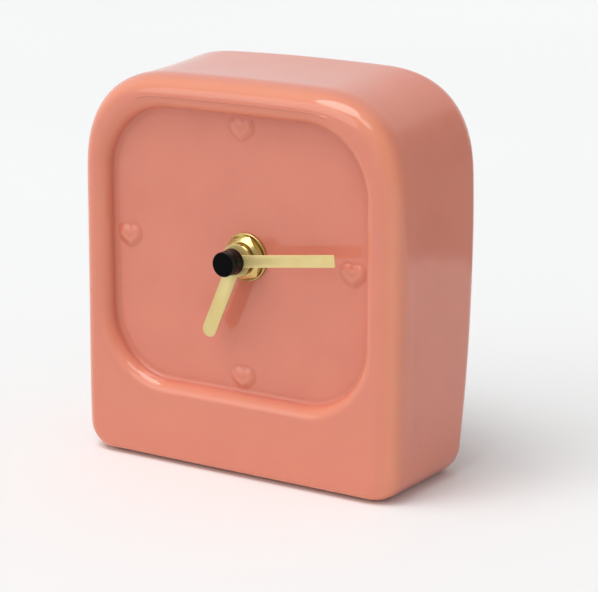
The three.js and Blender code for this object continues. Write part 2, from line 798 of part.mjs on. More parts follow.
function rotorPinion() {
  const pinionFront = behindHousingFace(fifthLayer - pinionOverlap / 2);
  const pinionBack = behindHousingFace(fifthLayer + wheelThickness + pinionOverlap);
  const shoulder = behindHousingFace(fifthFrontShoulder);
  return join(
    gear(rotorTeeth, rotorModule, rotorPhase, pinionBack, pinionFront),
    rod(arborRadius, behindHousingFace(rearShoulder), shoulder, 12),
    rod(pivotRadius, shoulder - joinOverlap, shoulder + bridgeThickness, 12),
    pivot(rearShoulder, true),
  );
}

function rotorMagnet() {
  const back = behindHousingFace(magnetLayer + magnetLength);
  return ring(arborRadius + seatGap, magnetRadius, back, behindHousingFace(magnetLayer), 24);
}

// A short pillar with a blind hole, for a pivot to run in.
function bearing(place, foot, mouth) {
  const deeper = mouth > foot ? 1 : -1;
  const post = rod(bearingRadius, Math.min(foot, mouth), Math.max(foot, mouth), 16);
  const end = mouth - deeper * (pivotLength + shakeGap / 2);
  const hole = rod(pivotRadius + runningGap, Math.min(end, mouth + deeper), Math.max(end, mouth + deeper), 12);
  return { post: post.translate([place.x, place.y, 0]), hole: hole.translate([place.x, place.y, 0]) };
}

const coilY = housingAbove - coilFromTop;
const coilLeft = rotorPlace.x - coilSpan / 2;
const coilRight = rotorPlace.x + coilSpan / 2;
const statorFront = bridgeBack + bridgeGap;
const statorRadius = magnetRadius + statorGap + statorRim;
const armTop = coilY + coreWidth / 2;
const armRoot = rotorPlace.y + statorRadius;

// The motor's iron: a ring round the magnet with two arms up to the coil.
function stator() {
  const back = behindHousingFace(statorFront + laminationThickness);
  const front = behindHousingFace(statorFront);
  const left = coilLeft - armWidth;
  const right = coilRight + armWidth;
  const waist = statorRadius * 0.8;
  const yoke = polygon([
    [left, armTop],
    [left, armRoot - armWidth],
    [rotorPlace.x - waist, rotorPlace.y],
    [rotorPlace.x + waist, rotorPlace.y],
    [right, armRoot - armWidth],
    [right, armTop],
    [coilRight, armTop],
    [coilRight, armRoot],
    [coilLeft, armRoot],
    [coilLeft, armTop],
  ]);
  const lobe = rod(statorRadius, back, front, 28).translate([rotorPlace.x, rotorPlace.y, 0]);
  const hole = rod(magnetRadius + statorGap, back - 1, front + 1, 28);
  return cut(join(prism(yoke, back, front), lobe), hole.translate([rotorPlace.x, rotorPlace.y, 0]));
}

const coreFront = statorFront + laminationThickness + seatGap;
const coreMiddle = coreFront + laminationThickness / 2;
const bobbinLeft = coilLeft + bobbinGap;
const bobbinRight = coilRight - bobbinGap;

function coilCore() {
  const left = coilLeft - armWidth;
  const right = coilRight + armWidth;
  const back = behindHousingFace(coreFront + laminationThickness);
  return block(left, right, coilY - coreWidth / 2, armTop, back, behindHousingFace(coreFront));
}

// A block of square section about the coil's middle line.
function coilBlock(left, right, halfHeight, halfDepth) {
  const z = behindHousingFace(coreMiddle);
  return block(left, right, coilY - halfHeight, coilY + halfHeight, z - halfDepth, z + halfDepth);
}

function coilBobbin() {
  const coreHalf = coreWidth / 2 + seatGap;
  const coreDeep = laminationThickness / 2 + seatGap;
  const flange = bobbinSize / 2;
  return cut(
    join(
      coilBlock(bobbinLeft, bobbinRight, coreHalf + bobbinWall, coreDeep + bobbinWall),
      coilBlock(bobbinLeft, bobbinLeft + bobbinFlange, flange, flange),
      coilBlock(bobbinRight - bobbinFlange, bobbinRight, flange, flange),
    ),
    coilBlock(bobbinLeft - 1, bobbinRight + 1, coreHalf, coreDeep),
  );
}

function coilWinding() {
  const innerHeight = coreWidth / 2 + bobbinWall + 2 * seatGap;
  const innerDepth = laminationThickness / 2 + bobbinWall + 2 * seatGap;
  const left = bobbinLeft + bobbinFlange + seatGap;
  const right = bobbinRight - bobbinFlange - seatGap;
  return cut(
    coilBlock(left, right, innerHeight + windingHeight, innerDepth + windingDepth),
    coilBlock(left - 1, right + 1, innerHeight, innerDepth),
  );
}

// Two pillars of the housing, just outside the centre wheel, carry the bridge.
const pillarReach = centreReach + pillarRadius + pillarGap;
const pillarPlaces = [polar(pillarReach, -130), polar(pillarReach, -45)];

const boardRight = innerHalf - boardMargin;
const boardLeft = pillarPlaces[1].x + pillarRadius + boardFromPillar;
const boardBottom = trainBottom + boardMargin;
const boardBack = boardLayer + boardThickness;

function circuitBoard() {
  const front = behindHousingFace(boardLayer);
  const top = boardBottom + boardHeight;
  return block(boardLeft, boardRight, boardBottom, top, behindHousingFace(boardBack), front);
}

function quartzCrystal() {
  const z = behindHousingFace(boardBack + seatGap + crystalRadius);
  const can = new THREE.CylinderGeometry(crystalRadius, crystalRadius, crystalLength, 16);
  const y = boardBottom + boardHeight - crystalLength;
  return solid(can).translate([boardRight - crystalFromEdge, y, z]);
}

// The drop of black resin over the chip.
function chipBlob() {
  const front = behindHousingFace(boardBack + seatGap);
  const profile = [[0, front - chipHeight]];
  for (let i = 1; i <= 4; i++) {
    const angle = (i * Math.PI) / 8;
    profile.push([chipRadius * Math.sin(angle), front - chipHeight * Math.cos(angle)]);
  }
  profile.push([0, front]);
  return turned(profile, 16).translate([boardRight - chipFromEdge, boardBottom + chipFromBottom, 0]);
}

// The thin plate across the middle of the movement.
function trainBridge() {
  const back = behindHousingFace(bridgeBack);
  const front = behindHousingFace(bridgeLayer);
  const left = pillarPlaces[0].x - pillarRadius - bridgeRim;
  const right = innerHalf - bridgeMargin;
  const bottom = trainBottom + bridgeMargin;
  const plate = block(left, right, bottom, rotorPlace.y + bridgeAboveRotor, back, front);
  const eye = rod(bridgeHoleRadius, back - 1, front + 1);
  const pivotEye = rod(pivotRadius + runningGap, back - 1, front + 1, 12);
  const thirdRoom = rod(thirdHoleRadius, back - 1, front + 1, 16);
  return cut(
    plate,
    eye,
    pivotEye.translate([fifthPlace.x, fifthPlace.y, 0]),
    pivotEye.translate([rotorPlace.x, rotorPlace.y, 0]),
    thirdRoom.translate([thirdPlace.x, thirdPlace.y, 0]),
  );
}

function housingOutline() {
  return roundedRectangle(-halfHousing, halfHousing, housingBottom, housingAbove, housingCorner);
}

// Past the housing on every side, for cuts that run right out of it.
const beyond = 2 * Math.max(halfHousing, housingAbove);

function movementHousing() {
  const trainBack = behindHousingFace(coverLayer - seatGap);
  const bayBack = behindHousingFace(housingDepth);
  const plateBack = behindHousingFace(plateThickness);
  const box = prism(housingOutline(), bayBack, housingZ);
  const above = block(-beyond, beyond, bayTop, beyond, bayBack - 1, trainBack);
  const train = block(-innerHalf, innerHalf, trainBottom, innerTop, bayBack - 1, plateBack);
  const bay = block(-innerHalf, innerHalf, bayBottom, bayTop, bayBack - 1, behindHousingFace(bayFloor));
  const bushHole = rod(bushRadius + seatGap, plateBack - 1, housingZ + 1);
  const flangeSeat = rod(bushFlangeRadius + seatGap, behindHousingFace(bushFlange + seatGap), housingZ + 1);
  const stud = rod(studRadius, behindHousingFace(motionLayer + wheelThickness + shakeGap), housingZ - postRoot, 16);
  const pillar = rod(pillarRadius, behindHousingFace(bridgeLayer - seatGap), housingZ - postRoot, 16);
  const thirdMouth = behindHousingFace(thirdFrontShoulder - shakeGap / 2);
  const thirdBearing = bearing(thirdPlace, plateBack + postRoot, thirdMouth);
  const settingDepth = settingPivotLength + shakeGap / 2;
  const settingHole = rod(pivotRadius + runningGap, plateBack - 1, plateBack + settingDepth, 12);
  const shell = cut(box, above, train, bay, bushHole, flangeSeat);
  const posts = [
    stud.translate([motionPlace.x, motionPlace.y, 0]),
    thirdBearing.post,
    ...pillarPlaces.map((place) => pillar.translate([place.x, place.y, 0])),
  ];
  return cut(
    join(shell, ...posts),
    thirdBearing.hole,
    settingHole.translate([settingPlace.x, settingPlace.y, 0]),
  );
}

function movementCover() {
  const back = behindHousingFace(housingDepth);
  const front = behindHousingFace(coverLayer);
  const below = block(-beyond, beyond, -beyond, bayTop + seatGap, back - 1, front + 1);
  const mouth = behindHousingFace(rearShoulder + shakeGap / 2);
  const places = [{ x: 0, y: 0 }, thirdPlace, fifthPlace, rotorPlace];
  const bearings = places.map((place) => bearing(place, front - postRoot, mouth));
  const arborHole = rod(settingArborRadius + runningGap, back - 1, front + 1, 16);
  return cut(
    join(prism(housingOutline(), back, front).subtract(below), ...bearings.map((one) => one.post)),
    ...bearings.map((one) => one.hole),
    arborHole.translate([settingPlace.x, settingPlace.y, 0]),
  );
}

// The cell lies along X in the bay under the wheels.
const batteryY = (bayBottom + bayTop) / 2;
const batteryDepth = bayFloor + batteryPlay + batteryDiameter / 2;

function alongBay(profile, sides) {
  const z = behindHousingFace(batteryDepth);
  return turned(profile, sides).rotate([0, 90, 0]).translate([-batteryLength / 2, batteryY, z]);
}

function batteryCan() {
  const radius = batteryDiameter / 2;
  const length = batteryLength - batteryButtonLength;
  const ease = 0.5;
  return alongBay(
    [[0, 0], [radius - ease, 0], [radius, ease], [radius, length - ease], [radius - ease, length], [0, length]],
    32,
  );
}

function batteryButton() {
  const start = batteryLength - batteryButtonLength + seatGap;
  return alongBay(
    [[0, start], [batteryButtonRadius, start], [batteryButtonRadius, batteryLength], [0, batteryLength]],
    20,
  );
}

// A bent strip of spring metal at one end of the bay: its foot on the wall, its nose on the cell.
function batteryContact(side) {
  const wall = innerHalf - seatGap;
  const tall = contactHeight / 2;
  const noseTall = contactNoseHeight / 2;
  const nose = wall - contactThickness - contactNose;
  const outline = [
    [wall, -tall],
    [wall, tall],
    [wall - contactThickness, tall],
    [nose, noseTall],
    [nose, -noseTall],
    [wall - contactThickness, -tall],
  ];
  const points = side > 0 ? outline : outline.map(([x, y]) => [-x, y]).reverse();
  const middle = behindHousingFace(batteryDepth);
  const strip = prism(polygon(points), middle - contactBreadth / 2, middle + contactBreadth / 2);
  return strip.translate([0, batteryY, 0]);
}

function gasket() {
  const front = -(dialWall + seatGap);
  return ring(bushRadius + gasketPlay, gasketRadius, front - gasketThickness, front, 32);
}

function washer() {
  return ring(bushRadius + washerPlay, washerRadius, seatGap, seatGap + washerThickness, 36);
}

const hub = new THREE.Group();
hub.position.set(hubX, hubY, dialZ);

function piece(name, manifold, material, parent = hub, place = { x: 0, y: 0 }) {
  const mesh = new THREE.Mesh(toGeometry(manifold), material.clone());
  mesh.name = name;
  mesh.position.set(place.x, place.y, 0);
  parent.add(mesh);
}

const clock = new THREE.Group();
clock.rotation.x = Math.PI / 2;
clock.add(hub);

piece('case_shell', caseShell(), materials.glaze, clock);

piece('movement_housing', movementHousing(), materials.blackPlastic);
piece('movement_cover', movementCover(), materials.blackPlastic);
piece('threaded_bush', fixedBush(), materials.gold);
piece('rubber_gasket', gasket(), materials.rubber);
piece('dial_washer', washer(), materials.gold);
piece('bush_nut', bushNut(), materials.gold);

piece('hour_wheel', hourWheel(), materials.whitePlastic);
piece('hour_hand', hourHand(), materials.brass);
piece('minute_cannon', minuteCannon(), materials.gold);
piece('minute_hand', minuteHand(), materials.brass);
piece('hand_cap', handCap(), materials.blackCap);
piece('motion_wheel', motionWheel(), materials.whitePlastic, hub, motionPlace);
piece('setting_knob', settingWheel(), materials.whitePlastic, hub, settingPlace);

piece('centre_wheel', centreWheel(), materials.whitePlastic);
piece('third_wheel', thirdWheel(), materials.whitePlastic, hub, thirdPlace);
piece('seconds_wheel', secondsWheel(), materials.whitePlastic);
piece('fifth_wheel', fifthWheel(), materials.whitePlastic, hub, fifthPlace);
piece('rotor_pinion', rotorPinion(), materials.whitePlastic, hub, rotorPlace);
piece('rotor_magnet', rotorMagnet(), materials.magnet, hub, rotorPlace);
piece('train_bridge', trainBridge(), materials.blackPlastic);

piece('motor_stator', stator(), materials.steel);
piece('coil_core', coilCore(), materials.steel);
piece('coil_bobbin', coilBobbin(), materials.whitePlastic);
piece('coil_winding', coilWinding(), materials.copper);
piece('circuit_board', circuitBoard(), materials.board);
piece('quartz_crystal', quartzCrystal(), materials.steel);
piece('chip_blob', chipBlob(), materials.blackCap);

piece('positive_contact', batteryContact(1), materials.steel);
piece('negative_contact', batteryContact(-1), materials.steel);
piece('battery_can', batteryCan(), materials.battery);
piece('battery_button', batteryButton(), materials.steel);

export default clock;
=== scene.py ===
"""A small porcelain table clock: salmon-pink glaze, four raised hearts, pale brass hands and a battery
movement behind the dial. Sizes are in millimetres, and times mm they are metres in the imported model's
frame. The dial faces -Y, and +Z is up."""
import math

import bmesh
import bpy
import numpy as np
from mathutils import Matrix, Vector


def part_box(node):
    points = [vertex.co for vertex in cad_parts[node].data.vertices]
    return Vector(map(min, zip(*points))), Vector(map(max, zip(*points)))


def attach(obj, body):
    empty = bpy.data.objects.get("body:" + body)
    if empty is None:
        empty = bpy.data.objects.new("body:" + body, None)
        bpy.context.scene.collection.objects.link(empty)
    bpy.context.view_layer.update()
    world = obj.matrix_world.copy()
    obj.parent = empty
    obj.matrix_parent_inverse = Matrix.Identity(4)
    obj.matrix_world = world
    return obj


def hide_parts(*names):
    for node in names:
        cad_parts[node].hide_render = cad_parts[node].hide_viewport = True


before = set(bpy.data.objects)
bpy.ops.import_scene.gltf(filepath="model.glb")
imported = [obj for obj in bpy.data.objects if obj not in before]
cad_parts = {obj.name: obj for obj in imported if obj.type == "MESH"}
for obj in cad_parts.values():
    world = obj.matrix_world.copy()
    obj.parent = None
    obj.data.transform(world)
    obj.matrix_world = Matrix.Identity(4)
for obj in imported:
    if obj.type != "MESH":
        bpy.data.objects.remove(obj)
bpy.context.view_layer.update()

mm = 0.001


# The camera: a long lens, a little above the clock and well to its right, aimed at the middle of
# the case as it stands on its sweep of white paper.
view_turn, view_lift = math.radians(33.19), math.radians(13.97)
view_distance, view_aim = 703.9 * mm, Vector((6.57 * mm, 2.33 * mm, 50.16 * mm))
sensor_width, focal_length, nearest_seen = 36, 142.74, 10 * mm
toward_camera = Vector((
    math.sin(view_turn) * math.cos(view_lift),
    -math.cos(view_turn) * math.cos(view_lift),
    math.sin(view_lift),
))


def placed(name, data):
    """A new object with that data, in the scene."""
    thing = bpy.data.objects.new(name, data)
    bpy.context.scene.collection.objects.link(thing)
    return thing


camera_data = bpy.data.cameras.new("camera")
camera_data.sensor_fit = "HORIZONTAL"
camera_data.sensor_width = sensor_width
camera_data.lens = focal_length
camera_data.clip_start = nearest_seen
camera = placed("camera", camera_data)
camera.location = view_aim + toward_camera * view_distance
camera.rotation_euler = toward_camera.to_track_quat("Z", "Y").to_euler()
bpy.context.scene.camera = camera


# The case: one slip-cast porcelain shell with a sunk dial, four hearts in relief on it and an open
# back. It was fired, dipped in a glossy salmon-pink glaze and fired again, so the glaze lies thin and
# light on every crest, pools darker in the groove round the dial, and is wiped off the foot. These
# lighter crests and darker grooves are partly painted highlight and painted shade in the glaze's colour.
case_width, case_height, case_depth = 110.2, 117.4, 48.8
side_bow, top_bow, top_rise = 0.85, 1.5, 2.8
shoulder, shoulder_power, foot_corner = 31, 2.69, 8.5
front_ease_in, front_ease_back, back_ease, foot_ease = 6.2, 9, 7.3, 1.8
foot_rise, right_fullness, left_draw, draw_start, draw_rise = 2.8, 0.8, 0.8, 10, 50
back_lean, back_bulge, straight_depth = 5.2, 4, 12
case_wall, cavity_ease = 4.4, 3
dial_width, dial_height, dial_bottom, dial_corner = 89, 82, 25.1, 20.4
dial_sink, dial_wall, lip_ease, groove_radius = 4.85, 4.4, 4.1, 1.1
hub_x, hub_z, bore_radius = 3, 65.9, 4.6
opening_width, opening_bottom, opening_top, opening_corner, opening_rim = 78, 24, 100, 12, 1.4
front_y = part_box("case_shell")[0].y / mm

run_columns, foot_columns, shoulder_columns = 76, 42, 52
middle_closeness = 0.4


def run_places():
    """Places from 0 to 1 along a straight run, closer together in its middle, where a heart lies."""
    t = np.linspace(-1, 1, run_columns, endpoint=False)
    return 0.5 + 0.5 * (middle_closeness * t + (1 - middle_closeness) * t**5)


def circle_ways(angle):
    return np.stack([np.cos(angle), np.sin(angle)], 1)


def corner_points(x, z, radius, power, quarter, count):
    ways = circle_ways((quarter + np.arange(count) / count) * math.pi / 2)
    return np.sign(ways) * np.abs(ways) ** (2 / power) * radius + [x, z]


def rounded_ring(half, bottom, top, low, high, power=2.0):
    """A rounded rectangle as (x, z), anticlockwise from the front, always with the same columns."""
    share = run_places()[:, None]

    def run(start, end):
        return np.array(start) + (np.array(end) - np.array(start)) * share

    return np.concatenate([
        run((low - half, bottom), (half - low, bottom)),
        corner_points(half - low, bottom + low, low, 2, 3, foot_columns),
        run((half, bottom + low), (half, top - high)),
        corner_points(half - high, top - high, high, power, 0, shoulder_columns),
        run((half - high, top), (high - half, top)),
        corner_points(high - half, top - high, high, power, 1, shoulder_columns),
        run((-half, top - high), (-half, bottom + low)),
        corner_points(low - half, bottom + low, low, 2, 2, foot_columns),
    ])


def set_back(points, depth):
    """(x, z) points at a depth behind the front, with the back's lean and bulge, as (x, y, z)."""
    share = np.maximum(0, (depth - straight_depth) / (case_depth - straight_depth))
    height = points[:, 1] / case_height
    shift = back_lean * (height - 0.5) - back_bulge * (2 * height - 1) ** 2
    return np.stack([points[:, 0], front_y + depth + share * shift, points[:, 1]], 1)


def smooth(value):
    t = np.clip(value, 0, 1)
    return t * t * (3 - 2 * t)


def case_ring(depth, inset, hollow=False):
    """The case's outline at a depth, drawn in by an inset: full shoulders, square feet, a slight bow."""
    ahead = max(0, 1 - depth / front_ease_back)
    behind = max(0, 1 - (case_depth - depth) / foot_ease)
    foot = foot_rise * (1 - math.sqrt(1 - ahead**2)) + foot_ease * (1 - math.sqrt(1 - behind**2))
    if hollow:
        foot = inset
    half = case_width / 2 - inset
    top = case_height - top_bow - inset + top_rise * (depth / case_depth) ** 2
    low = max(foot_corner - (inset if hollow else inset / 2), 1)
    high = max(shoulder - inset, 1)
    points = rounded_ring(half, foot, top, low, high, shoulder_power)
    x, z = points[:, 0].copy(), points[:, 1].copy()
    height = 2 * z / case_height - 1
    points[:, 0] = x * (1 + side_bow * (1 - np.minimum(1, height**2)) / half)
    points[:, 1] = z + top_bow * (1 - (x / half) ** 2) * np.clip(height, 0, 1)
    if not hollow:
        drawn = smooth((z - draw_start) / draw_rise) * (1 - smooth(depth / (case_depth - back_ease)))
        points[:, 0] += left_draw * drawn * smooth(-x / half) ** 3
    return set_back(points, depth)


def dial_ring(outset, depth):
    radius = dial_corner + outset
    bottom, top = dial_bottom - outset, dial_bottom + dial_height + outset
    points = rounded_ring(dial_width / 2 + outset, bottom, top, radius, radius)
    return np.stack([points[:, 0], np.full(len(points), front_y + depth), points[:, 1]], 1)


def opening_ring(outset, depth):
    radius = opening_corner + outset
    bottom, top = opening_bottom - outset, opening_top + outset
    return set_back(rounded_ring(opening_width / 2 + outset, bottom, top, radius, radius), depth)


def between(first, last, shares):
    return [first + (last - first) * share for share in shares]


def turn(steps):
    """A rounding in even steps: each angle, with a share that goes from 0 to 1 and one from 1 to 0."""
    angles = [math.pi / 2 * (i / steps) for i in range(steps + 1)]
    return [(angle, 1 - math.cos(angle), 1 - math.sin(angle)) for angle in angles]


heart_relief, heart_dish, heart_reach = 0.72, 0.1, 6.0
heart_lobe, heart_lobe_x, heart_lobe_z, heart_tip = 2.6, 1.5, 0.8, -3.2
heart_from_side, heart_from_end, heart_shift, heart_tilt = 5.4, 4.1, 1.3, 1.1
heart_skirt, heart_slope, heart_crest, heart_hollow = 0.6, 1.7, 1.7, 1.2
heart_flank, heart_pull, heart_blur = math.radians(-35), 1.9, (0.15, 0.3)
# Glaze on the hearts: lighter on the rims, darker at the feet and in the dishes, partly painted highlight
# and shade.
heart_rim_thin_and_highlight, rim_reach, heart_foot_pool_and_shade, base_out, base_reach, heart_dish_pool_and_shade = 0.25, 0.9, 0.25, 0.25, 0.75, 0.05


def heart_outline():
    """One heart, point down, as a closed line: two lobes and full flanks that meet at the tip."""
    notch = math.acos(-heart_lobe_x / heart_lobe)
    angle = np.linspace(notch, heart_flank, 48)
    lobe = circle_ways(angle) * heart_lobe + [heart_lobe_x, heart_lobe_z]
    way = np.array([math.sin(heart_flank), -math.cos(heart_flank)])
    start, pull, tip = lobe[-1], lobe[-1] + heart_pull * way, np.array([0, heart_tip])
    t = np.linspace(0, 1, 24)[1:, None]
    side = (1 - t) ** 2 * start + 2 * t * (1 - t) * pull + t**2 * tip
    right = np.concatenate([lobe, side])
    left = right[-2:0:-1] * [-1, 1]
    return np.concatenate([right, left])


def inside_distance(points, line):
    """How far each point lies inside a closed line, and below 0 how far outside it."""
    nearest = np.full(len(points), np.inf)
    crossings = np.zeros(len(points), int)
    for a, b in zip(line, np.roll(line, -1, 0)):
        way = b - a
        share = np.clip(((points - a) @ way) / (way @ way), 0, 1)
        nearest = np.minimum(nearest, np.hypot(*(points - a - share[:, None] * way).T))
        spans = (a[1] > points[:, 1]) != (b[1] > points[:, 1])
        if a[1] != b[1]:
            crossings += spans & (points[:, 0] < a[0] + (points[:, 1] - a[1]) * way[0] / way[1])
    return np.where(crossings % 2 == 1, nearest, -nearest)


def heart_profile(inside):
    """The relief over the distance inside the line: a soft skirt, a round rim and a dished middle."""
    rise = smooth((inside + heart_skirt) / (heart_skirt + heart_slope))
    return heart_relief * (rise - heart_dish * smooth((inside - heart_crest) / heart_hollow))


def heart_middles():
    middle_z = dial_bottom + dial_height / 2
    across, up = dial_width / 2 - heart_from_side, dial_height / 2 - heart_from_end
    return [
        (heart_shift, middle_z + up), (heart_shift, middle_z - up),
        (-across, middle_z + heart_tilt), (across, middle_z - heart_tilt),
    ]


def hearts_on(points):
    """Height of the hearts over the dial, softened as the glaze softens them, and the glaze's lie, with
    painted highlight on their rims and painted shade at their feet and in their dishes.
    """
    height, glaze = np.zeros(len(points)), np.zeros(len(points))
    line = heart_outline()
    for x, z in heart_middles():
        local = points[:, [0, 2]] - [x, z]
        near = np.flatnonzero(np.abs(local).max(1) < heart_reach)
        eighths = np.arange(8) * math.pi / 4
        around = [(r * math.cos(a), r * math.sin(a)) for r in heart_blur for a in eighths]
        spots = [inside_distance(local[near] + spot, line) for spot in [(0.0, 0.0)] + around]
        height[near] += np.mean([heart_profile(spot) for spot in spots], 0)
        inside = spots[0]
        rim = smooth(1 - np.abs(inside - heart_slope) / rim_reach)
        base = smooth(1 - np.abs(inside + base_out) / base_reach)
        hollow = smooth((inside - heart_crest - 0.5) / heart_hollow)
        glaze[near] += heart_rim_thin_and_highlight * rim - heart_foot_pool_and_shade * base - heart_dish_pool_and_shade * hollow
    return height, np.clip(glaze, -1, 1)


def bump_at(angle, middle, width):
    """A rounded step from 0 to 1 and back about the middle, for thin glaze and painted highlight on a crest.
    """
    return max(0.0, math.cos(min(1.0, abs(angle - middle) / width) * math.pi / 2)) ** 2


# Each ring has its points, its glaze (-1 where it pools, with painted shade, 1 thin, with painted
# highlight), its waviness and how much it is inside.
case_rings = []


def add_ring(points, glaze=0.0, wavy=1.0, within=0.0):
    spread = np.broadcast_to(glaze, len(points)).astype(float)
    case_rings.append((points, spread, wavy, within))


heart_zone, ring_pitch, seat_radius, bore_ease, seat_wavy = 11.0, 0.26, 8, 0.5, 0.2
# How much darker the glaze pools and how much lighter it thins, which also paints shade and highlight.
flat_glaze, pooled_glaze_and_shade, groove_pool_and_shade, pool_and_shade_reach = 0.1, 0.1, 0.06, 3.2
lip_thin_glaze_and_highlight, front_thin_glaze_and_highlight, back_thin, rim_thin = 0.4, 0.6, 0.6, 0.9
frame_places, back_places, hollow_places = (0.15, 0.4, 0.65, 0.85), (0.1, 0.35, 0.65, 0.9), (0.2, 0.5, 0.8)
bore_back = dial_sink + dial_wall
inner_dial = dial_ring(-heart_zone, dial_sink)
from_hub = inner_dial - [hub_x, 0, hub_z]
from_hub[:, 1] = 0
bore_line = from_hub / np.linalg.norm(from_hub, axis=1)[:, None]


def bore_ring(radius, depth):
    return bore_line * radius + [hub_x, front_y + depth, hub_z]


for depth in np.linspace(bore_back, dial_sink + bore_ease, 5):
    add_ring(bore_ring(bore_radius, depth), wavy=0, within=0.6)
for angle, up, down in turn(4)[1:]:
    add_ring(bore_ring(bore_radius + bore_ease * up, dial_sink + bore_ease * down), wavy=0)
seat_line = bore_ring(seat_radius, dial_sink)
for share in np.linspace(0, 1, 14):
    add_ring(seat_line + (inner_dial - seat_line) * share, wavy=seat_wavy + (1 - seat_wavy) * share)
# The dial darkens towards its edge: glaze that pools there, and painted shade.
for inset in np.arange(heart_zone - ring_pitch, groove_radius, -ring_pitch):
    points = dial_ring(-inset, dial_sink)
    height, glaze = hearts_on(points)
    points[:, 1] -= height
    edge = smooth(1 - inset / pool_and_shade_reach)
    add_ring(points, np.clip(glaze - pooled_glaze_and_shade * edge, -1, 1))
lip_start = math.acos(groove_radius / dial_sink)
lip_foot = lip_ease * (1 - math.sin(lip_start))
# The groove round the dial is darker: glaze that pools there, and painted shade.
for angle, up, down in turn(7):
    outset = lip_foot * math.sin(angle) - groove_radius * down
    points = dial_ring(outset, dial_sink - groove_radius * up)
    height, glaze = hearts_on(points)
    points[:, 1] -= height * math.cos(angle)
    add_ring(points, -pooled_glaze_and_shade - groove_pool_and_shade * math.sin(2 * angle))
# The lip is lighter on its crest and darker at its foot: thin and pooling glaze, with painted highlight and
# painted shade.
for angle in np.linspace(lip_start, 0, 21)[1:]:
    outset = lip_ease * (1 - math.sin(angle))
    depth = dial_sink * (1 - math.cos(angle))
    thin = lip_thin_glaze_and_highlight * bump_at(angle, math.radians(40), math.radians(50))
    add_ring(dial_ring(outset, depth), thin - pooled_glaze_and_shade * bump_at(angle, lip_start, 0.4))
for points in between(case_rings[-1][0], case_ring(0, front_ease_in), frame_places):
    add_ring(points, flat_glaze)
# The front edge is lighter on its crest: thin glaze and painted highlight.
for angle, up, down in turn(24):
    depth, inset = front_ease_back * up, front_ease_in * down
    points = case_ring(depth, inset)
    to_right = smooth(points[:, 0] / (case_width / 2 - inset))
    points[:, 0] += right_fullness * math.sin(2 * angle) ** 2 * to_right**3
    add_ring(points, flat_glaze + front_thin_glaze_and_highlight * bump_at(angle, math.radians(40), math.radians(36)))
for depth in np.linspace(front_ease_back, case_depth - back_ease, 14)[1:-1]:
    add_ring(case_ring(depth, 0))
for angle, up, down in turn(16):
    points = case_ring(case_depth - back_ease * down, back_ease * up)
    add_ring(points, back_thin * bump_at(angle, math.radians(45), math.radians(45)))
for points in between(case_rings[-1][0], opening_ring(opening_rim, case_depth), back_places):
    add_ring(points)
for angle, up, down in turn(6):
    points = opening_ring(opening_rim * down, case_depth - opening_rim * up)
    add_ring(points, rim_thin * bump_at(angle, math.pi / 4, math.pi / 3), 0)
hollow_back = case_depth - case_wall
for angle, up, down in turn(6)[::-1]:
    points = opening_ring(opening_rim * down, hollow_back + opening_rim * up)
    add_ring(points, 0, 0, 1 - 0.5 * math.sin(angle))
hollow_back_line = case_ring(hollow_back, case_wall + cavity_ease, True)
for points in between(case_rings[-1][0], hollow_back_line, hollow_places):
    add_ring(points, 0, 0, 1)
cavity_ends = hollow_back - cavity_ease, bore_back + cavity_ease
cavity = [(hollow_back - cavity_ease * down, cavity_ease * up) for angle, up, down in turn(6)[::-1]]
cavity += [(depth, 0) for depth in np.linspace(*cavity_ends, 8)[1:-1]]
cavity += [(bore_back + cavity_ease * up, cavity_ease * down) for angle, up, down in turn(6)[::-1]]
for depth, inset in cavity:
    add_ring(case_ring(depth, case_wall + inset, True), 0, 0, 1)

case_points = np.stack([ring[0] for ring in case_rings])
case_glaze_and_painted_light = np.stack([ring[1] for ring in case_rings])
case_wavy = np.array([ring[2] for ring in case_rings])[:, None]
case_within = np.repeat(np.array([ring[3] for ring in case_rings])[:, None], case_points.shape[1], 1)


def grid_normals(points):
    along = np.roll(points, -1, 0) - np.roll(points, 1, 0)
    around = np.roll(points, -1, 1) - np.roll(points, 1, 1)
    normal = np.cross(around, along)
    return normal / np.maximum(np.linalg.norm(normal, axis=2, keepdims=True), 1e-9)


def waviness(points):
    """The slow unevenness of a slip-cast wall, from 0 to 1, as a sum of slanting waves."""
    total = np.zeros(points.shape[:2])
    waves = ((longest_wave, 0.3, 1.0, 0.2), (43, 1.7, -0.6, 1.9), (34, 2.6, 0.5, 4.0), (23, 0.9, -1.2, 2.7))
    for length, heading, tilt, start in waves:
        way = np.array([math.cos(heading), wave_tilt * tilt, math.sin(heading)])
        total += np.sin(points @ way * (2 * math.pi / length) + start) * length / longest_wave
    return 0.5 + 0.5 * total / wave_sum


longest_wave, wave_tilt, wave_sum, wave_height, wave_least, foot_fade = 61, 0.7, 2.6, 0.11, 0.03, 3
case_normals = grid_normals(case_points)
if ((case_points - case_points.mean((0, 1))) * case_normals).sum() < 0:
    case_normals = -case_normals
foot_share = smooth(case_points[:, :, 2] / foot_fade)[..., None]
sunk = wave_height * waviness(case_points) * case_wavy + wave_least
case_points -= case_normals * sunk[..., None] * foot_share


def as_piece(mesh, body, finish, stands_for):
    """A piece of that mesh, with its finish, that rides on a body and stands for nodes of the model."""
    mesh.shade_smooth()
    mesh.materials.append(finish)
    piece = placed(mesh.name, mesh)
    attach(piece, body)
    if stands_for:
        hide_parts(*stands_for)
    return piece


def make_piece(name, points, faces, body, slot, finish, stands_for=()):
    """A mesh piece from points in metres, with its faces out, that rides on a body."""
    mesh = bpy.data.meshes.new(name)
    mesh.from_pydata([tuple(p) for p in points], [], faces)
    shape = bmesh.new()
    shape.from_mesh(mesh)
    bmesh.ops.recalc_face_normals(shape, faces=shape.faces)
    shape.to_mesh(mesh)
    shape.free()
    return as_piece(mesh, body, finish, stands_for)


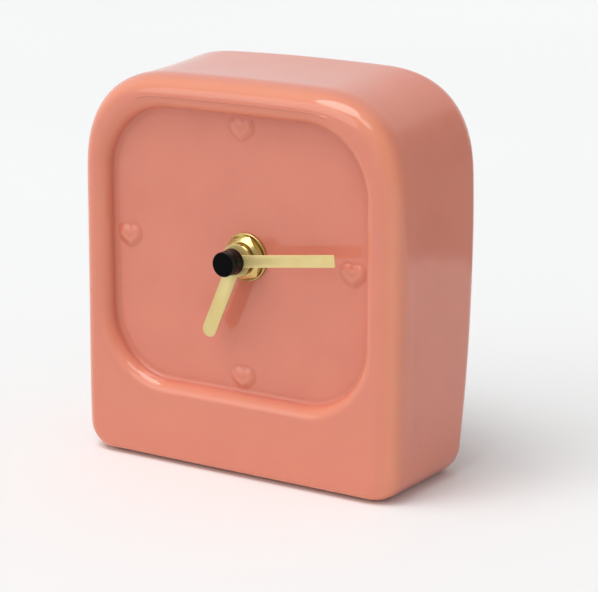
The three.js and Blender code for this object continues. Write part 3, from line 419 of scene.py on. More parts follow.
def grid_faces(rings, columns, ring_on=True):
    """Quads over rings of columns, and where it rings on, from the last ring to the first too."""
    def at(i, j):
        return (i % rings) * columns + j % columns

    return [
        (at(i, j), at(i, j + 1), at(i + 1, j + 1), at(i + 1, j))
        for i in range(rings if ring_on else rings - 1) for j in range(columns)
    ]


def paint(red, green, blue):
    """An sRGB colour from 0 to 255 as the linear colour that a shader takes."""
    def linear(value):
        share = value / 255
        return share / 12.92 if share <= 0.04045 else ((share + 0.055) / 1.055) ** 2.4

    return (linear(red), linear(green), linear(blue), 1)


def new_finish(name, **sockets):
    """A material and its main shader, with the shader's own sockets set by name."""
    finish = bpy.data.materials.new(name)
    finish.use_nodes = True
    shader = finish.node_tree.nodes["Principled BSDF"]
    for socket, value in sockets.items():
        shader.inputs[socket.replace("_", " ")].default_value = value
    return finish, shader


def add_node(finish, kind, inputs=None, **settings):
    node = finish.node_tree.nodes.new(kind)
    for setting, value in settings.items():
        setattr(node, setting, value)
    for socket, value in (inputs or {}).items():
        if isinstance(value, bpy.types.NodeSocket):
            finish.node_tree.links.new(value, node.inputs[socket])
        else:
            node.inputs[socket].default_value = value
    return node


def worked(finish, operation, *values):
    """One step of arithmetic, on values from other nodes or plain numbers."""
    return add_node(finish, "ShaderNodeMath", dict(enumerate(values)), operation=operation).outputs[0]


def place_on(finish, stretch=(1, 1, 1)):
    """Where a point lies on the piece, stretched to draw a grain out."""
    place = add_node(finish, "ShaderNodeTexCoord").outputs["Object"]
    return add_node(finish, "ShaderNodeMapping", {"Vector": place, "Scale": stretch}).outputs[0]


def noise(finish, size, detail, roughness=0.5, stretch=(1, 1, 1)):
    """Even noise about 0.5, with patches of about that size in millimetres."""
    sockets = {"Scale": 1 / (size * mm), "Detail": detail, "Roughness": roughness}
    sockets["Vector"] = place_on(finish, stretch)
    return add_node(finish, "ShaderNodeTexNoise", sockets).outputs["Fac"]


def levels(finish, value, low, high, from_low=0.3, from_high=0.7):
    sockets = {"Value": value, "From Min": from_low, "From Max": from_high, "To Min": low, "To Max": high}
    return add_node(finish, "ShaderNodeMapRange", sockets).outputs[0]


def colours(finish, value, *stops):
    """A colour from a value, through (place, colour) stops."""
    ramp = add_node(finish, "ShaderNodeValToRGB", {"Fac": value})
    points = ramp.color_ramp.elements
    while len(points) < len(stops):
        points.new(0.5)
    for point, (place, colour) in zip(points, stops):
        point.position = place
        point.color = colour
    return ramp.outputs["Color"]


def mottled(finish, patches, dark, light):
    """A tone that drifts between two colours, in patches of (size, detail, roughness, stretch)."""
    return colours(finish, noise(finish, *patches), (0.3, paint(*dark)), (0.7, paint(*light)))


def blend_colours(finish, share, first, second, mode="MIX"):
    mix = add_node(finish, "ShaderNodeMix", data_type="RGBA", blend_type=mode)
    for socket, value in ((mix.inputs[0], share), (mix.inputs[6], first), (mix.inputs[7], second)):
        if isinstance(value, bpy.types.NodeSocket):
            finish.node_tree.links.new(value, socket)
        else:
            socket.default_value = value
    return mix.outputs[2]


def relief(finish, shader, *layers):
    """Fine relief in the surface: each layer is a height from 0 to 1 and its depth in millimetres."""
    normal = None
    for height, depth in layers:
        sockets = {"Height": height, "Distance": depth * mm, "Strength": 1.0}
        if normal is not None:
            sockets["Normal"] = normal
        normal = add_node(finish, "ShaderNodeBump", sockets).outputs["Normal"]
    finish.node_tree.links.new(normal, shader.inputs["Normal"])


def feed(finish, shader, **sources):
    for socket, source in sources.items():
        finish.node_tree.links.new(source, shader.inputs[socket.replace("_", " ")])


# The glaze's colour follows the attribute "glaze", from -1 where it pools to 1 on a crest; the darker
# pools carry painted shade and the lighter crests carry painted highlight.
glaze, glaze_shader = new_finish(
    "salmon_glaze", Subsurface_Weight=0.12, Subsurface_Radius=(1.0, 0.32, 0.2), Subsurface_Scale=0.9 * mm,
    IOR=1.5,
)
lie, within, bare = (
    add_node(glaze, "ShaderNodeAttribute", attribute_name=name).outputs["Fac"]
    for name in ("glaze", "within", "bare")
)
drift = levels(glaze, noise(glaze, 17, 3), -0.07, 0.07)
glaze_colour = colours(
    glaze, levels(glaze, worked(glaze, "ADD", lie, drift), 0, 1, -1, 1),
    (0.0, paint(168, 74, 52)), (0.28, paint(204, 112, 89)), (0.5, paint(222, 134, 112)),
    (0.75, paint(232, 144, 114)), (1.0, paint(240, 157, 125)),
)
fleck = levels(glaze, noise(glaze, 0.7, 2, 0.6), 0, 1, 0.70, 0.78)
glaze_colour = blend_colours(glaze, levels(glaze, fleck, 0, 0.3, 0, 1), glaze_colour, paint(188, 104, 82))
thin_colour = mottled(glaze, (9, 4, 0.6), (222, 160, 138), (229, 180, 160))
glaze_colour = blend_colours(glaze, within, glaze_colour, thin_colour)
bisque = mottled(glaze, (0.5, 4), (222, 214, 203), (236, 230, 221))
glaze_colour = blend_colours(glaze, bare, glaze_colour, bisque)
glaze_gloss = levels(glaze, noise(glaze, 6, 3), 0.05, 0.095)
pooled_gloss = levels(glaze, lie, 0.24, 0, -0.1, 0)
glaze_gloss = worked(glaze, "ADD", glaze_gloss, pooled_gloss)
glaze_gloss = worked(glaze, "MULTIPLY_ADD", within, 0.22, glaze_gloss)
glaze_gloss = worked(glaze, "MULTIPLY_ADD", bare, 0.6, glaze_gloss)
feed(glaze, glaze_shader, Base_Color=glaze_colour, Roughness=glaze_gloss)
relief(glaze, glaze_shader, (noise(glaze, 9, 1), 0.016), (noise(glaze, 1.3, 2), 0.002))

case = make_piece(
    "porcelain_case", case_points.reshape(-1, 3) * mm, grid_faces(*case_points.shape[:2]), "case",
    "porcelain", glaze, ["case_shell"],
)
bare_height, bare_fade = 0.2, 0.15
foot_bare = smooth((bare_height - case_points[:, :, 2]) / bare_fade)
for name, values in (("glaze", case_glaze_and_painted_light), ("within", case_within), ("bare", foot_bare)):
    layer = case.data.attributes.new(name, "FLOAT", "POINT")
    layer.data.foreach_set("value", values.astype(np.float32).ravel())


# The bush: the movement's brass neck, threaded outside and gilt, that comes through the porcelain from
# behind. It is turned from bar, its thread is cut, and its flange is held by the housing.
washer_off = 0.05
dial_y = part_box("dial_washer")[1].y / mm + washer_off
housing_out = dial_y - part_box("movement_housing")[0].y / mm
bush_bore, bush_radius, bush_proud = 2.6, 4.0, 4.6
bush_flange_radius, bush_flange, bush_foot = 6.0, 0.8, 1.6
thread_pitch, thread_depth, thread_lead, thread_flank, thread_root = 0.75, 0.3, 0.45, 2.6, 0.15
thread_from, thread_short, lead_fall, bush_edge, crest_edge, bush_mouth = 0.3, 0.02, 0.3, 0.1, 0.08, 0.3


def eased(corners):
    """A profile whose corners are rounded over. Each corner is (radius, out, ease) in mm."""
    points = []
    for i, (radius, out, ease) in enumerate(corners):
        here = np.array([radius, out], float)
        if ease == 0:
            points.append(here)
            continue
        back = np.array(corners[i - 1][:2]) - here
        onward = np.array(corners[(i + 1) % len(corners)][:2]) - here
        back, onward = back / np.linalg.norm(back), onward / np.linalg.norm(onward)
        start, end, hold = here + back * ease, here + onward * ease, 0.03
        points.append(start + back * hold)
        for t in np.linspace(0, 1, 5):
            points.append((1 - t) ** 2 * start + 2 * t * (1 - t) * here + t**2 * end)
        points.append(end + onward * hold)
    return np.array(points)


def spun(
    name, profile_at, body, slot, finish, stands_for, sides=128, place=(hub_x, hub_z), closed=True,
    start=None, way=(0, -1, 0),
):
    """A turned piece: profile_at(angle) gives its (radius, along) points. Its axis runs out of the dial,
    with 0 at the dial's face, unless it has a start and a way of its own."""
    start = np.array((place[0], dial_y, place[1]) if start is None else start)
    across = np.array((0, 1, 0) if way[0] else (1, 0, 0))
    up = np.cross(way, across)
    angles = np.arange(sides) * 2 * math.pi / sides
    profile = np.stack([profile_at(angle) for angle in angles], 1)
    radius, along = profile[..., :1], profile[..., 1:]
    turned = np.cos(angles)[:, None] * across + np.sin(angles)[:, None] * up
    points = (start + radius * turned + along * np.array(way)) * mm
    if closed:
        faces = grid_faces(*points.shape[:2])
        return make_piece(name, points.reshape(-1, 3), faces, body, slot, finish, stands_for)
    inner = points[1:-1]
    rings = len(inner)
    faces = grid_faces(rings, sides, ring_on=False)
    first, last = rings * sides, rings * sides + 1
    for j in range(sides):
        after = (j + 1) % sides
        faces.append((first, after, j))
        faces.append((last, (rings - 1) * sides + j, (rings - 1) * sides + after))
    corners = np.concatenate([inner.reshape(-1, 3), points[:1, 0], points[-1:, 0]])
    return make_piece(name, corners, faces, body, slot, finish, stands_for)


def bush_profile(angle):
    outs = np.arange(housing_out + thread_from, bush_proud - thread_short, thread_pitch / 10)
    turns = (outs / thread_pitch - angle / (2 * math.pi)) % 1
    ridge = np.clip(thread_flank * np.abs(turns - 0.5) - thread_root, 0, 1)
    start = np.clip((bush_proud - outs) / thread_lead, 0, 1)
    radius = bush_radius - thread_depth * ridge - lead_fall * (1 - start)
    foot, flange, rim = housing_out - bush_foot, housing_out - bush_flange, bush_flange_radius
    rear = [
        (bush_bore, foot), (bush_radius - bush_edge, foot), (bush_radius, foot + bush_edge),
        (bush_radius, flange), (rim - bush_edge, flange), (rim, flange + bush_edge),
        (rim, housing_out - bush_edge), (rim - bush_edge, housing_out), (bush_radius, housing_out),
    ]
    front = [
        (radius[-1] - crest_edge, bush_proud), (bush_bore + bush_mouth, bush_proud),
        (bush_bore, bush_proud - bush_mouth),
    ]
    return np.concatenate([rear, np.stack([radius, outs], 1), front])


def even_finish(name, patches, tones, grain, rough, bumps, **sockets):
    """A finish of one colour that drifts in patches, with a gloss that varies with a finer grain. Patches
    and grain are (size, detail, roughness, stretch), and each bump is the same with its depth added."""
    finish, shader = new_finish(name, **sockets)
    gloss = levels(finish, noise(finish, *grain), *rough)
    feed(finish, shader, Base_Color=mottled(finish, patches, *tones), Roughness=gloss)
    relief(finish, shader, *[(noise(finish, *bump[:-1]), bump[-1]) for bump in bumps])
    return finish


gilt = even_finish(
    "gilt_brass", patches=(3, 3), tones=((202, 180, 112), (218, 198, 132)),
    grain=(1.2, 3), rough=(0.22, 0.34), bumps=[(0.5, 2, 0.004)], Metallic=1.0,
)
spun("brass_bush", bush_profile, "case", "gilt_metal", gilt, ["threaded_bush"], sides=96)


# The washer: a gilt disc, lightly dished where the nut bears on it, with a bright turned rim. It lies
# loose on the glaze and spreads the nut's pull.
washer_radius, washer_thickness, washer_bore = 7.1, 1.0, 4.15


def washer_profile(angle):
    back, front = washer_off, washer_off + washer_thickness
    return eased([
        (washer_bore, back, 0.08), (washer_radius, back, 0.12), (washer_radius, front - 0.12, 0.18),
        (washer_radius - 0.3, front, 0.12), (washer_radius - 0.75, front - 0.16, 0.12),
        (washer_bore + 0.4, front - 0.12, 0.05), (washer_bore, front - 0.12, 0.08),
    ])


tool_lines = (0.12, 2, 0.6, (0.02, 1, 0.02))
turned_gilt = even_finish(
    "turned_gilt", patches=(2, 2), tones=((198, 178, 116), (214, 196, 134)),
    grain=tool_lines, rough=(0.28, 0.4), bumps=[(*tool_lines, 0.003)], Metallic=1.0, Anisotropic=0.35,
)
spun("gilt_washer", washer_profile, "case", "gilt_metal", turned_gilt, ["dial_washer"])


# The nut: gilt brass, milled from hexagon bar, its front turned to a steep chamfer that cuts down into
# all six corners. It screws on the bush and clamps the washer, the porcelain and the movement together.
nut_flats, nut_thickness, nut_turn, nut_chamfer_angle = 12.0, 2.4, math.radians(12), math.radians(27)
nut_back = 2 * washer_off + washer_thickness
nut_seat, nut_face, nut_fall, nut_corner = nut_flats / 2 * 0.955, 5.1, 0.97, 0.14
nut_bore, nut_mouth, corner_from, corner_blur = bush_radius + 0.05, 0.35, math.radians(23), math.radians(7)


def nut_profile(angle):
    off = (angle - nut_turn) % (math.pi / 3) - math.pi / 6
    flat = nut_flats / 2 / math.cos(off)
    radius = flat - nut_corner * smooth((abs(off) - corner_from) / corner_blur)
    drop = (radius - nut_seat) * math.tan(nut_chamfer_angle)
    fall = (radius - nut_face) * nut_fall
    back, front = nut_back, nut_back + nut_thickness
    return eased([
        (bush_radius + nut_mouth, back, 0.05), (nut_seat, back, 0.08), (radius, back + drop, 0.07),
        (radius, front - fall, 0.12), (nut_face, front, 0.12), (bush_radius + nut_mouth, front, 0.08),
        (nut_bore, front - nut_mouth, 0.05), (nut_bore, back + nut_mouth, 0.05),
    ])


spun("gilt_nut", nut_profile, "case", "gilt_metal", gilt, ["bush_nut"], sides=180)


# The hour wheel: a white moulded wheel behind the dial on a brass-coloured tube that comes out through
# the bush. The hour hand is pressed on its end, against the shoulder.
wheel_white = even_finish(
    "moulded_white", patches=(4, 3), tones=((226, 223, 214), (236, 234, 227)),
    grain=(0.8, 3), rough=(0.34, 0.46), bumps=[(0.25, 2, 0.003)],
    IOR=1.49, Subsurface_Weight=0.08, Subsurface_Scale=0.6 * mm,
)
tooth_tip, tooth_root, tooth_tip_share, tooth_root_share = 0.85, 1.2, 0.12, 0.27
wheel_thickness, hour_layer = 0.8, 1.9
motion_module, cannon_teeth, motion_teeth, motion_leaves, hour_teeth = 0.48, 10, 30, 8, 32
motion_distance = motion_module * (cannon_teeth + motion_teeth) / 2
hour_module = 2 * motion_distance / (motion_leaves + hour_teeth)


def tooth_radius(angle, teeth, module, phase=0.0):
    """A spur gear's radius at an angle, with a tooth at the phase and slightly rounded tips."""
    place = abs(((angle - phase) * teeth / (2 * math.pi) + 0.5) % 1 - 0.5)
    middle = teeth * module / 2
    tip, root = middle + tooth_tip * module, middle - tooth_root * module
    return tip + (root - tip) * smooth((place - tooth_tip_share) / (tooth_root_share - tooth_tip_share))


hour_tube, hour_bore, hour_hand_out, hand_thickness, hand_grip, hand_step = 2.5, 1.78, 5.4, 0.4, 0.7, 0.3
tooth_edge, tube_fillet, seat_play = 0.08, 0.25, 0.05


def hour_wheel_profile(angle):
    front = housing_out - hour_layer
    tip = tooth_radius(angle, hour_teeth, hour_module)
    end = hour_hand_out + hand_thickness + hand_grip
    back, shoulder_out = front - wheel_thickness, hour_hand_out - seat_play
    return eased([
        (hour_bore, back, 0), (tip - tooth_edge, back, 0), (tip, back + tooth_edge, 0),
        (tip, front - tooth_edge, 0), (tip - tooth_edge, front, 0), (hour_tube + tube_fillet, front, 0.03),
        (hour_tube, front + tube_fillet, 0.05), (hour_tube, shoulder_out, 0.05),
        (hour_tube - hand_step, shoulder_out, 0.03),
        (hour_tube - hand_step, end, 0.1), (hour_bore, end, 0.05),
    ])


spun(
    "hour_wheel_and_tube", hour_wheel_profile, "hour_set", "white_plastic", wheel_white, ["hour_wheel"],
    sides=hour_teeth * 16,
)


# The minute tube: turned brass with its ten-leaf pinion behind and a waist at the front, where the
# minute hand sits and the cap screws on. It turns inside the hour wheel's tube.
cannon_radius, cannon_bore, minute_hand_out, cap_grip = 1.7, 0.63, 7.0, 2.0
motion_gap, centre_gap, tube_tail, leaf_tail, leaf_gap, tube_edge = 0.5, 0.8, 0.2, 0.3, 0.2, 0.1
motion_layer = hour_layer + wheel_thickness + motion_gap
centre_layer = motion_layer + wheel_thickness + centre_gap


def cannon_profile(angle):
    back = housing_out - centre_layer - wheel_thickness - tube_tail
    leaf_back = housing_out - motion_layer - wheel_thickness - leaf_tail
    leaf_front = housing_out - hour_layer - wheel_thickness - leaf_gap
    leaf = tooth_radius(angle, cannon_teeth, motion_module)
    shoulder_out, end = minute_hand_out - seat_play, minute_hand_out + hand_thickness + cap_grip
    return eased([
        (cannon_bore, back, 0), (cannon_radius - tube_edge, back, 0), (cannon_radius, back + tube_edge, 0),
        (cannon_radius, leaf_back, 0), (leaf, leaf_back, 0), (leaf, leaf_front, 0),
        (cannon_radius, leaf_front, 0), (cannon_radius, shoulder_out, 0.06),
        (cannon_radius - hand_step, shoulder_out, 0.03), (cannon_radius - hand_step, end, 0.1),
        (cannon_bore, end, 0.05),
    ])


spun("minute_tube", cannon_profile, "minute_set", "gilt_metal", turned_gilt, ["minute_cannon"], sides=240)


# The hands: stamped from thin pale brass strip and lacquered, with a faint lengthwise brushing and
# edges just broken by tumbling. The hour hand ends round, the minute hand nearly square.
hand_break, eye_play = 0.07, 0.05


def brushed_brass(name, stretch, dark, light):
    """Pale brass whose colour, gloss and relief are drawn out along the hand."""
    finish, shader = new_finish(name, Metallic=0.3)
    grain = noise(finish, 0.16, 3, 0.6, stretch)
    tone = mottled(finish, (7, 2), dark, light)
    fine = colours(finish, grain, (0.3, (0.93, 0.93, 0.93, 1)), (0.7, (1, 1, 1, 1)))
    tone = blend_colours(finish, 1.0, tone, fine, "MULTIPLY")
    feed(finish, shader, Base_Color=tone, Roughness=levels(finish, grain, 0.4, 0.5))
    relief(finish, shader, (grain, 0.0025))
    return finish


minute_brass = brushed_brass("brushed_pale_brass", (0.03, 1, 1), (227, 204, 137), (233, 213, 148))
# The hour hand is the same brass as the minute hand, painted a little darker as painted shade.
hour_brass_shaded = brushed_brass("brushed_pale_brass_hour_shaded", (1, 1, 0.05), (216, 194, 128), (222, 202, 138))


def hand_line(length, width, hub, tip):
    """Half a hand's outline and its mirror, as (across, along) points, clockwise from the hub."""
    half = width / 2
    foot = math.sqrt(hub**2 - half**2)
    corner_turns = np.linspace(0, math.pi / 2, 13)
    tip_arc = [(half - tip + tip * math.cos(a), length - tip + tip * math.sin(a)) for a in corner_turns]
    first = math.atan2(foot, half)
    hub_turns = np.linspace(-math.pi / 2, first, 40)[1:]
    hub_arc = [(hub * math.cos(a), hub * math.sin(a)) for a in hub_turns]
    right = hub_arc + tip_arc
    left = [(-x, y) for x, y in right[::-1]]
    return np.array([(0, -hub)] + right + left)


def pull_in(line, distance):
    """The same line drawn inwards, point by point, along its own normals."""
    ahead, behind = np.roll(line, -1, 0), np.roll(line, 1, 0)
    way = ahead - behind
    inward = np.stack([-way[:, 1], way[:, 0]], 1)
    return line + inward / np.linalg.norm(inward, axis=1)[:, None] * distance


def hand(name, line, eye, out, angle, body, finish, stands_for):
    """A flat hand with a round eye: rings run from the eye over the front, the edge and the back."""
    count = len(line)
    circle = circle_ways(np.arctan2(line[:, 1], line[:, 0]))
    turned_by = math.radians(angle)
    rings, outs = [], []
    top, bottom, soft = out + hand_thickness, out, hand_break
    slight, wide, eye_edge = pull_in(line, soft * 0.3), pull_in(line, soft + 0.03), circle * (eye + 0.05)
    for layer_line, level in (
        (circle * eye, bottom + soft), (circle * eye, top - soft), (eye_edge, top), (wide, top),
        (pull_in(line, soft), top), (slight, top - soft * 0.3), (line, top - soft), (line, bottom + soft),
        (slight, bottom + soft * 0.3), (pull_in(line, soft), bottom), (wide, bottom), (eye_edge, bottom),
    ):
        across, along = layer_line[:, 0], layer_line[:, 1]
        x = across * math.cos(turned_by) + along * math.sin(turned_by)
        z = along * math.cos(turned_by) - across * math.sin(turned_by)
        rings.append(np.stack([hub_x + x, np.full(count, dial_y - level), hub_z + z], 1))
    points = np.concatenate(rings) * mm
    make_piece(name, points, grid_faces(len(rings), count), body, "hand_brass", finish, stands_for)


hour_line = hand_line(length=26.0, width=4.7, hub=4.8, tip=2.34)
minute_line = hand_line(length=34.8, width=3.6, hub=3.2, tip=0.5)
hour_eye, minute_eye = hour_tube - hand_step + eye_play, cannon_radius - hand_step + eye_play
hour_angle, minute_angle = 203.7, 82.7
hand(
    "brass_hour_hand", hour_line, hour_eye, hour_hand_out, hour_angle, "hour_set", hour_brass_shaded,
    ["hour_hand"],
)
hand(
    "brass_minute_hand", minute_line, minute_eye, minute_hand_out, minute_angle, "minute_set", minute_brass,
    ["minute_hand"],
)


# The cap: glossy black plastic, moulded with a groove round its waist to grip it by. It screws on the
# end of the minute tube and keeps the hands on.
cap_radius, cap_length, cap_groove, cap_groove_depth, cap_groove_out = 3.65, 4.9, 0.5, 0.4, 2.9
cap_flange_radius, cap_flange = 3.9, 0.7
cap_back = minute_hand_out + hand_thickness + 0.05


def cap_profile(angle):
    groove, waist, front = cap_back + cap_groove_out, cap_radius - cap_groove_depth, cap_back + cap_length
    return eased([
        (0, cap_back + cap_grip, 0), (minute_eye, cap_back + cap_grip, 0.05), (minute_eye, cap_back, 0.05),
        (cap_flange_radius, cap_back, 0.12), (cap_flange_radius, cap_back + cap_flange - 0.15, 0.3),
        (cap_radius, cap_back + cap_flange + 0.25, 0.2), (cap_radius, groove - 0.1, 0.35),
        (waist, groove, 0.1), (waist, groove + cap_groove, 0.1),
        (cap_radius, groove + cap_groove + 0.1, 0.35),
        (cap_radius, front - 0.02, 0.32), (1.5, front, 0.6), (0, front, 0),
    ])


def also_dress(piece, finish, chosen):
    """A second finish on a piece, for the faces that are chosen."""
    piece.data.materials.append(finish)
    for face in piece.data.polygons:
        if chosen(face):
            face.material_index = 1


jet = even_finish(
    "glossy_black", patches=(2, 2), tones=((9, 10, 13), (15, 17, 21)),
    grain=(1.0, 3), rough=(0.07, 0.14), bumps=[(1.5, 2, 0.004)], IOR=1.5, Specular_IOR_Level=0.2,
)
matt_face = even_finish(
    "matt_black_face", patches=(1.5, 2), tones=((4, 4, 5), (8, 8, 9)),
    grain=(0.5, 3), rough=(0.3, 0.42), bumps=[(0.3, 2, 0.003)], IOR=1.5, Specular_IOR_Level=0.04,
)
cap = spun("black_cap", cap_profile, "minute_set", "black_cap", jet, ["hand_cap"], closed=False)
cap_face_y = (dial_y - cap_back - cap_length + 0.2) * mm
also_dress(cap, matt_face, lambda face: face.normal.y < -0.97 and face.center.y < cap_face_y)


# The gasket: a flat ring of black rubber round the bush, between the movement and the back of the
# dial. Both faces are moulded with a shallow channel, so that its rims press down first.
gasket_radius, gasket_bore, gasket_thickness, gasket_off = 11.0, 4.2, 0.8, 0.05
gasket_channel, gasket_slope, gasket_round = 0.14, 0.25, 0.02
gasket_lands = ((4.2, 5.1), (6.7, 7.4), (10.0, 11.0))


def gasket_profile(angle):
    face = []
    for start, end in gasket_lands:
        face += [(start - gasket_slope, gasket_channel), (start, 0)]
        face += [(end, 0), (end + gasket_slope, gasket_channel)]
    face = face[1:-1]
    back, front = housing_out + gasket_off, housing_out + gasket_off + gasket_thickness
    behind = [(radius, back + low) for radius, low in face]
    ahead = [(radius, front - low) for radius, low in face[::-1]]
    middle = (back + front) / 2
    outside, inside = (gasket_radius + gasket_round, middle), (gasket_bore - gasket_round, middle)
    return np.array(behind + [outside] + ahead + [inside])


rubber = even_finish(
    "black_rubber", patches=(3, 4, 0.6), tones=((33, 33, 34), (46, 46, 46)),
    grain=(0.8, 3), rough=(0.62, 0.8), bumps=[(0.3, 3, 0.6, 0.012)], IOR=1.5, Specular_IOR_Level=0.35,
)
spun("rubber_gasket_ring", gasket_profile, "case", "rubber", rubber, ["rubber_gasket"], sides=160)


# The movement's housing: a square tray moulded in black plastic with a fine spark-eroded grain. The
# bush is held in its floor, the wheels run above, and the lower third is the open bay for the cell.
least_edge_angle, flat_angle, shading_angle = math.radians(32), math.radians(0.5), math.radians(46)


def eased_copy(name, node, body, finish, ease):
    """A node's own shape, with each flat face made whole and its longer edges broken all round."""
    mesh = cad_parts[node].data.copy()
    mesh.materials.clear()
    shape = bmesh.new()
    shape.from_mesh(mesh)
    bmesh.ops.remove_doubles(shape, verts=shape.verts, dist=0.001 * mm)
    bmesh.ops.dissolve_limit(shape, angle_limit=flat_angle, verts=shape.verts, edges=shape.edges)
    corners = [
        edge for edge in shape.edges
        if len(edge.link_faces) == 2 and edge.calc_face_angle() > least_edge_angle
        and edge.calc_length() > 3 * ease * mm
    ]
    bmesh.ops.bevel(
        shape, geom=corners, offset=ease * mm, offset_type="OFFSET", segments=2, profile=0.6, affect="EDGES",
    )
    shape.to_mesh(mesh)
    shape.free()
    mesh.name = name
    piece = as_piece(mesh, body, finish, [node])
    mesh.set_sharp_from_angle(angle=shading_angle)
    piece.modifiers.new("even_shading", "WEIGHTED_NORMAL").keep_sharp = True


grained = even_finish(
    "spark_grained_black", patches=(6, 4, 0.6), tones=((44, 44, 46), (55, 55, 57)),
    grain=(0.5, 3, 0.6), rough=(0.42, 0.6), bumps=[(0.3, 3, 0.65, 0.018), (7, 1, 0.02)],
    IOR=1.5, Specular_IOR_Level=0.4,
)
eased_copy("housing_tray", "movement_housing", "case", grained, ease=0.12)


# The housing's cover: a moulded plate snapped over the wheels, with the inner ends of their arbors in
# its bosses. Outside it carries a raised rim, bosses, clips, an arrow round the knob and + and - marks.
cover_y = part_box("movement_cover")[1].y / mm
cover_left, cover_right, cover_bottom, cover_top = -25.0, 31.0, 53.95, 93.9
knob_place, third_place = (-14.768, 72.367), (-1.564, 75.688)
fifth_place, rotor_place = (10.95, 68.793), (15.15, 76.068)
mark_height, mark_sunk, mark_ease, mark_fine_ease = 0.24, 0.12, 0.08, 0.06
eased_copy("cover_plate", "movement_cover", "case", grained, ease=0.14)


def circle_line(x, z, radius, count=40):
    return circle_ways(np.arange(count) * 2 * math.pi / count) * radius + [x, z]


def box_line(left, right, bottom, top, corner, steps=6):
    """A rectangle with rounded corners as (x, z) points, anticlockwise."""
    line = []
    for quarter, (x, z) in enumerate((
        (right - corner, top - corner), (left + corner, top - corner),
        (left + corner, bottom + corner), (right - corner, bottom + corner),
    )):
        angle = (quarter + np.linspace(0, 1, steps + 1)) * math.pi / 2
        line.append(circle_ways(angle) * corner + [x, z])
    return np.concatenate(line)


def capped_faces(rings, count):
    """Quads over rings of points, with the first ring and the last one closed by a face."""
    caps = [tuple(range(count)), tuple(range((rings - 1) * count, rings * count))]
    return grid_faces(rings, count, ring_on=False) + caps


def set_at(rings):
    """(x, z) rings, each with its own y, as one list of points."""
    return np.concatenate([np.insert(ring, 1, y, 1) for ring, y in rings])


def slab(line, front, back, ease):
    """A flat piece cut to an outline, with broken edges: its points and faces."""
    inner = pull_in(line, ease)
    rings = [(inner, front), (line, front + ease), (line, back - ease), (inner, back)]
    return set_at(rings), capped_faces(4, len(line))


def band(outer, inner, front, back, ease):
    """A flat ring between two outlines with the same number of points."""
    outside, inside = pull_in(outer, ease), pull_in(inner, -ease)
    rings = [
        (outside, front), (outer, front + ease), (outer, back - ease), (outside, back),
        (inside, back), (inner, back - ease), (inner, front + ease), (inside, front),
    ]
    return set_at(rings), grid_faces(len(rings), len(outer))


def joined(parts):
    """Several shapes as one mesh."""
    points, faces, count = [], [], 0
    for part_points, part_faces in parts:
        points.append(part_points)
        faces += [tuple(int(corner) + count for corner in face) for face in part_faces]
        count += len(part_points)
    return np.concatenate(points) * mm, faces


def arrow_line(x, z, radius, width, start, end):
    """A curved arrow round a middle, anticlockwise in (x, z), with its head at the end."""
    angle = np.radians(np.linspace(start, end, 30))
    reach, barb = math.radians(14), width * 1.3
    tail = [(radius - width / 2, a) for a in angle]
    head = [(radius - barb, angle[-1]), (radius, angle[-1] + reach), (radius + barb, angle[-1])]
    back = [(radius + width / 2, a) for a in angle[::-1]]
    return np.array([(x + r * math.cos(a), z + r * math.sin(a)) for r, a in tail + head + back])[::-1]


def cross_line(x, z, arm, half):
    """A plus mark's outline, anticlockwise."""
    steps = [(half, half), (half, arm), (-half, arm), (-half, half), (-arm, half), (-arm, -half),
             (-half, -half), (-half, -arm), (half, -arm), (half, -half), (arm, -half), (arm, half)]
    return np.array([(x + across, z + up) for across, up in steps])


def cover_line(inset, corner):
    """The cover's outline, drawn in by an inset."""
    left, right = cover_left + inset, cover_right - inset
    return box_line(left, right, cover_bottom + inset, cover_top - inset, corner)


mark_ends = cover_y - mark_sunk, cover_y + mark_height
raised_rings = [(knob_place, 6.3, 5.5)]
raised_rings += [(place, 2.1, 0.9) for place in ((hub_x, hub_z), third_place, fifth_place, rotor_place)]
cover_marks = [band(cover_line(0.9, 3.1), cover_line(2.0, 2.0), *mark_ends, mark_ease)]
for place, outer, inner in raised_rings:
    cover_marks.append(band(circle_line(*place, outer), circle_line(*place, inner), *mark_ends, mark_ease))
for line in (
    arrow_line(*knob_place, 7.6, 0.5, 200, 330), cross_line(24.5, 57.6, 1.6, 0.35),
    box_line(-20.1, -16.9, 57.25, 57.95, 0.15),
):
    cover_marks.append(slab(line, *mark_ends, mark_fine_ease))
make_piece("cover_mouldings", *joined(cover_marks), "case", "black_plastic", grained)


def clip(x, z, way):
    """A snap clip over the housing's edge: an arm with a rounded hook, on the left or right side."""
    section = np.array([(0, 0.4), (0, -9.2), (0.35, -9.2), (0.95, -8.3), (0.95, -7.6),
                        (0.5, -7.3), (0.5, 0.0), (0.25, 0.4)])
    rows = []
    for up, share in ((-clip_half, 0.9), (-clip_flat, 1.0), (clip_flat, 1.0), (clip_half, 0.9)):
        reach = x + way * section[:, 0] * share
        rows.append(np.stack([reach, cover_y - 0.5 + section[:, 1], np.full(len(section), z + up)], 1))
    return np.concatenate(rows), capped_faces(4, len(section))


clip_half, clip_flat, clip_gap, clip_heights = 2.0, 1.85, 0.02, (62.0, 85.0)
clips = [clip(cover_left - clip_gap, z, -1) for z in clip_heights]
clips += [clip(cover_right + clip_gap, z, 1) for z in clip_heights]
make_piece("cover_clips", *joined(clips), "case", "black_plastic", grained)


# The setting knob: white plastic, moulded in one with its arbor and pinion, with fourteen flutes for
# the fingertips, a dished back and a small boss where the plastic was let in.
knob_radius, knob_flutes, flute_radius, flute_out = 5.0, 14, 0.6, 0.3
knob_front, knob_back, setting_teeth, setting_arbor = 16.8, 19.3, 10, 1.0
motion_way, setting_way = math.radians(170), math.radians(150)


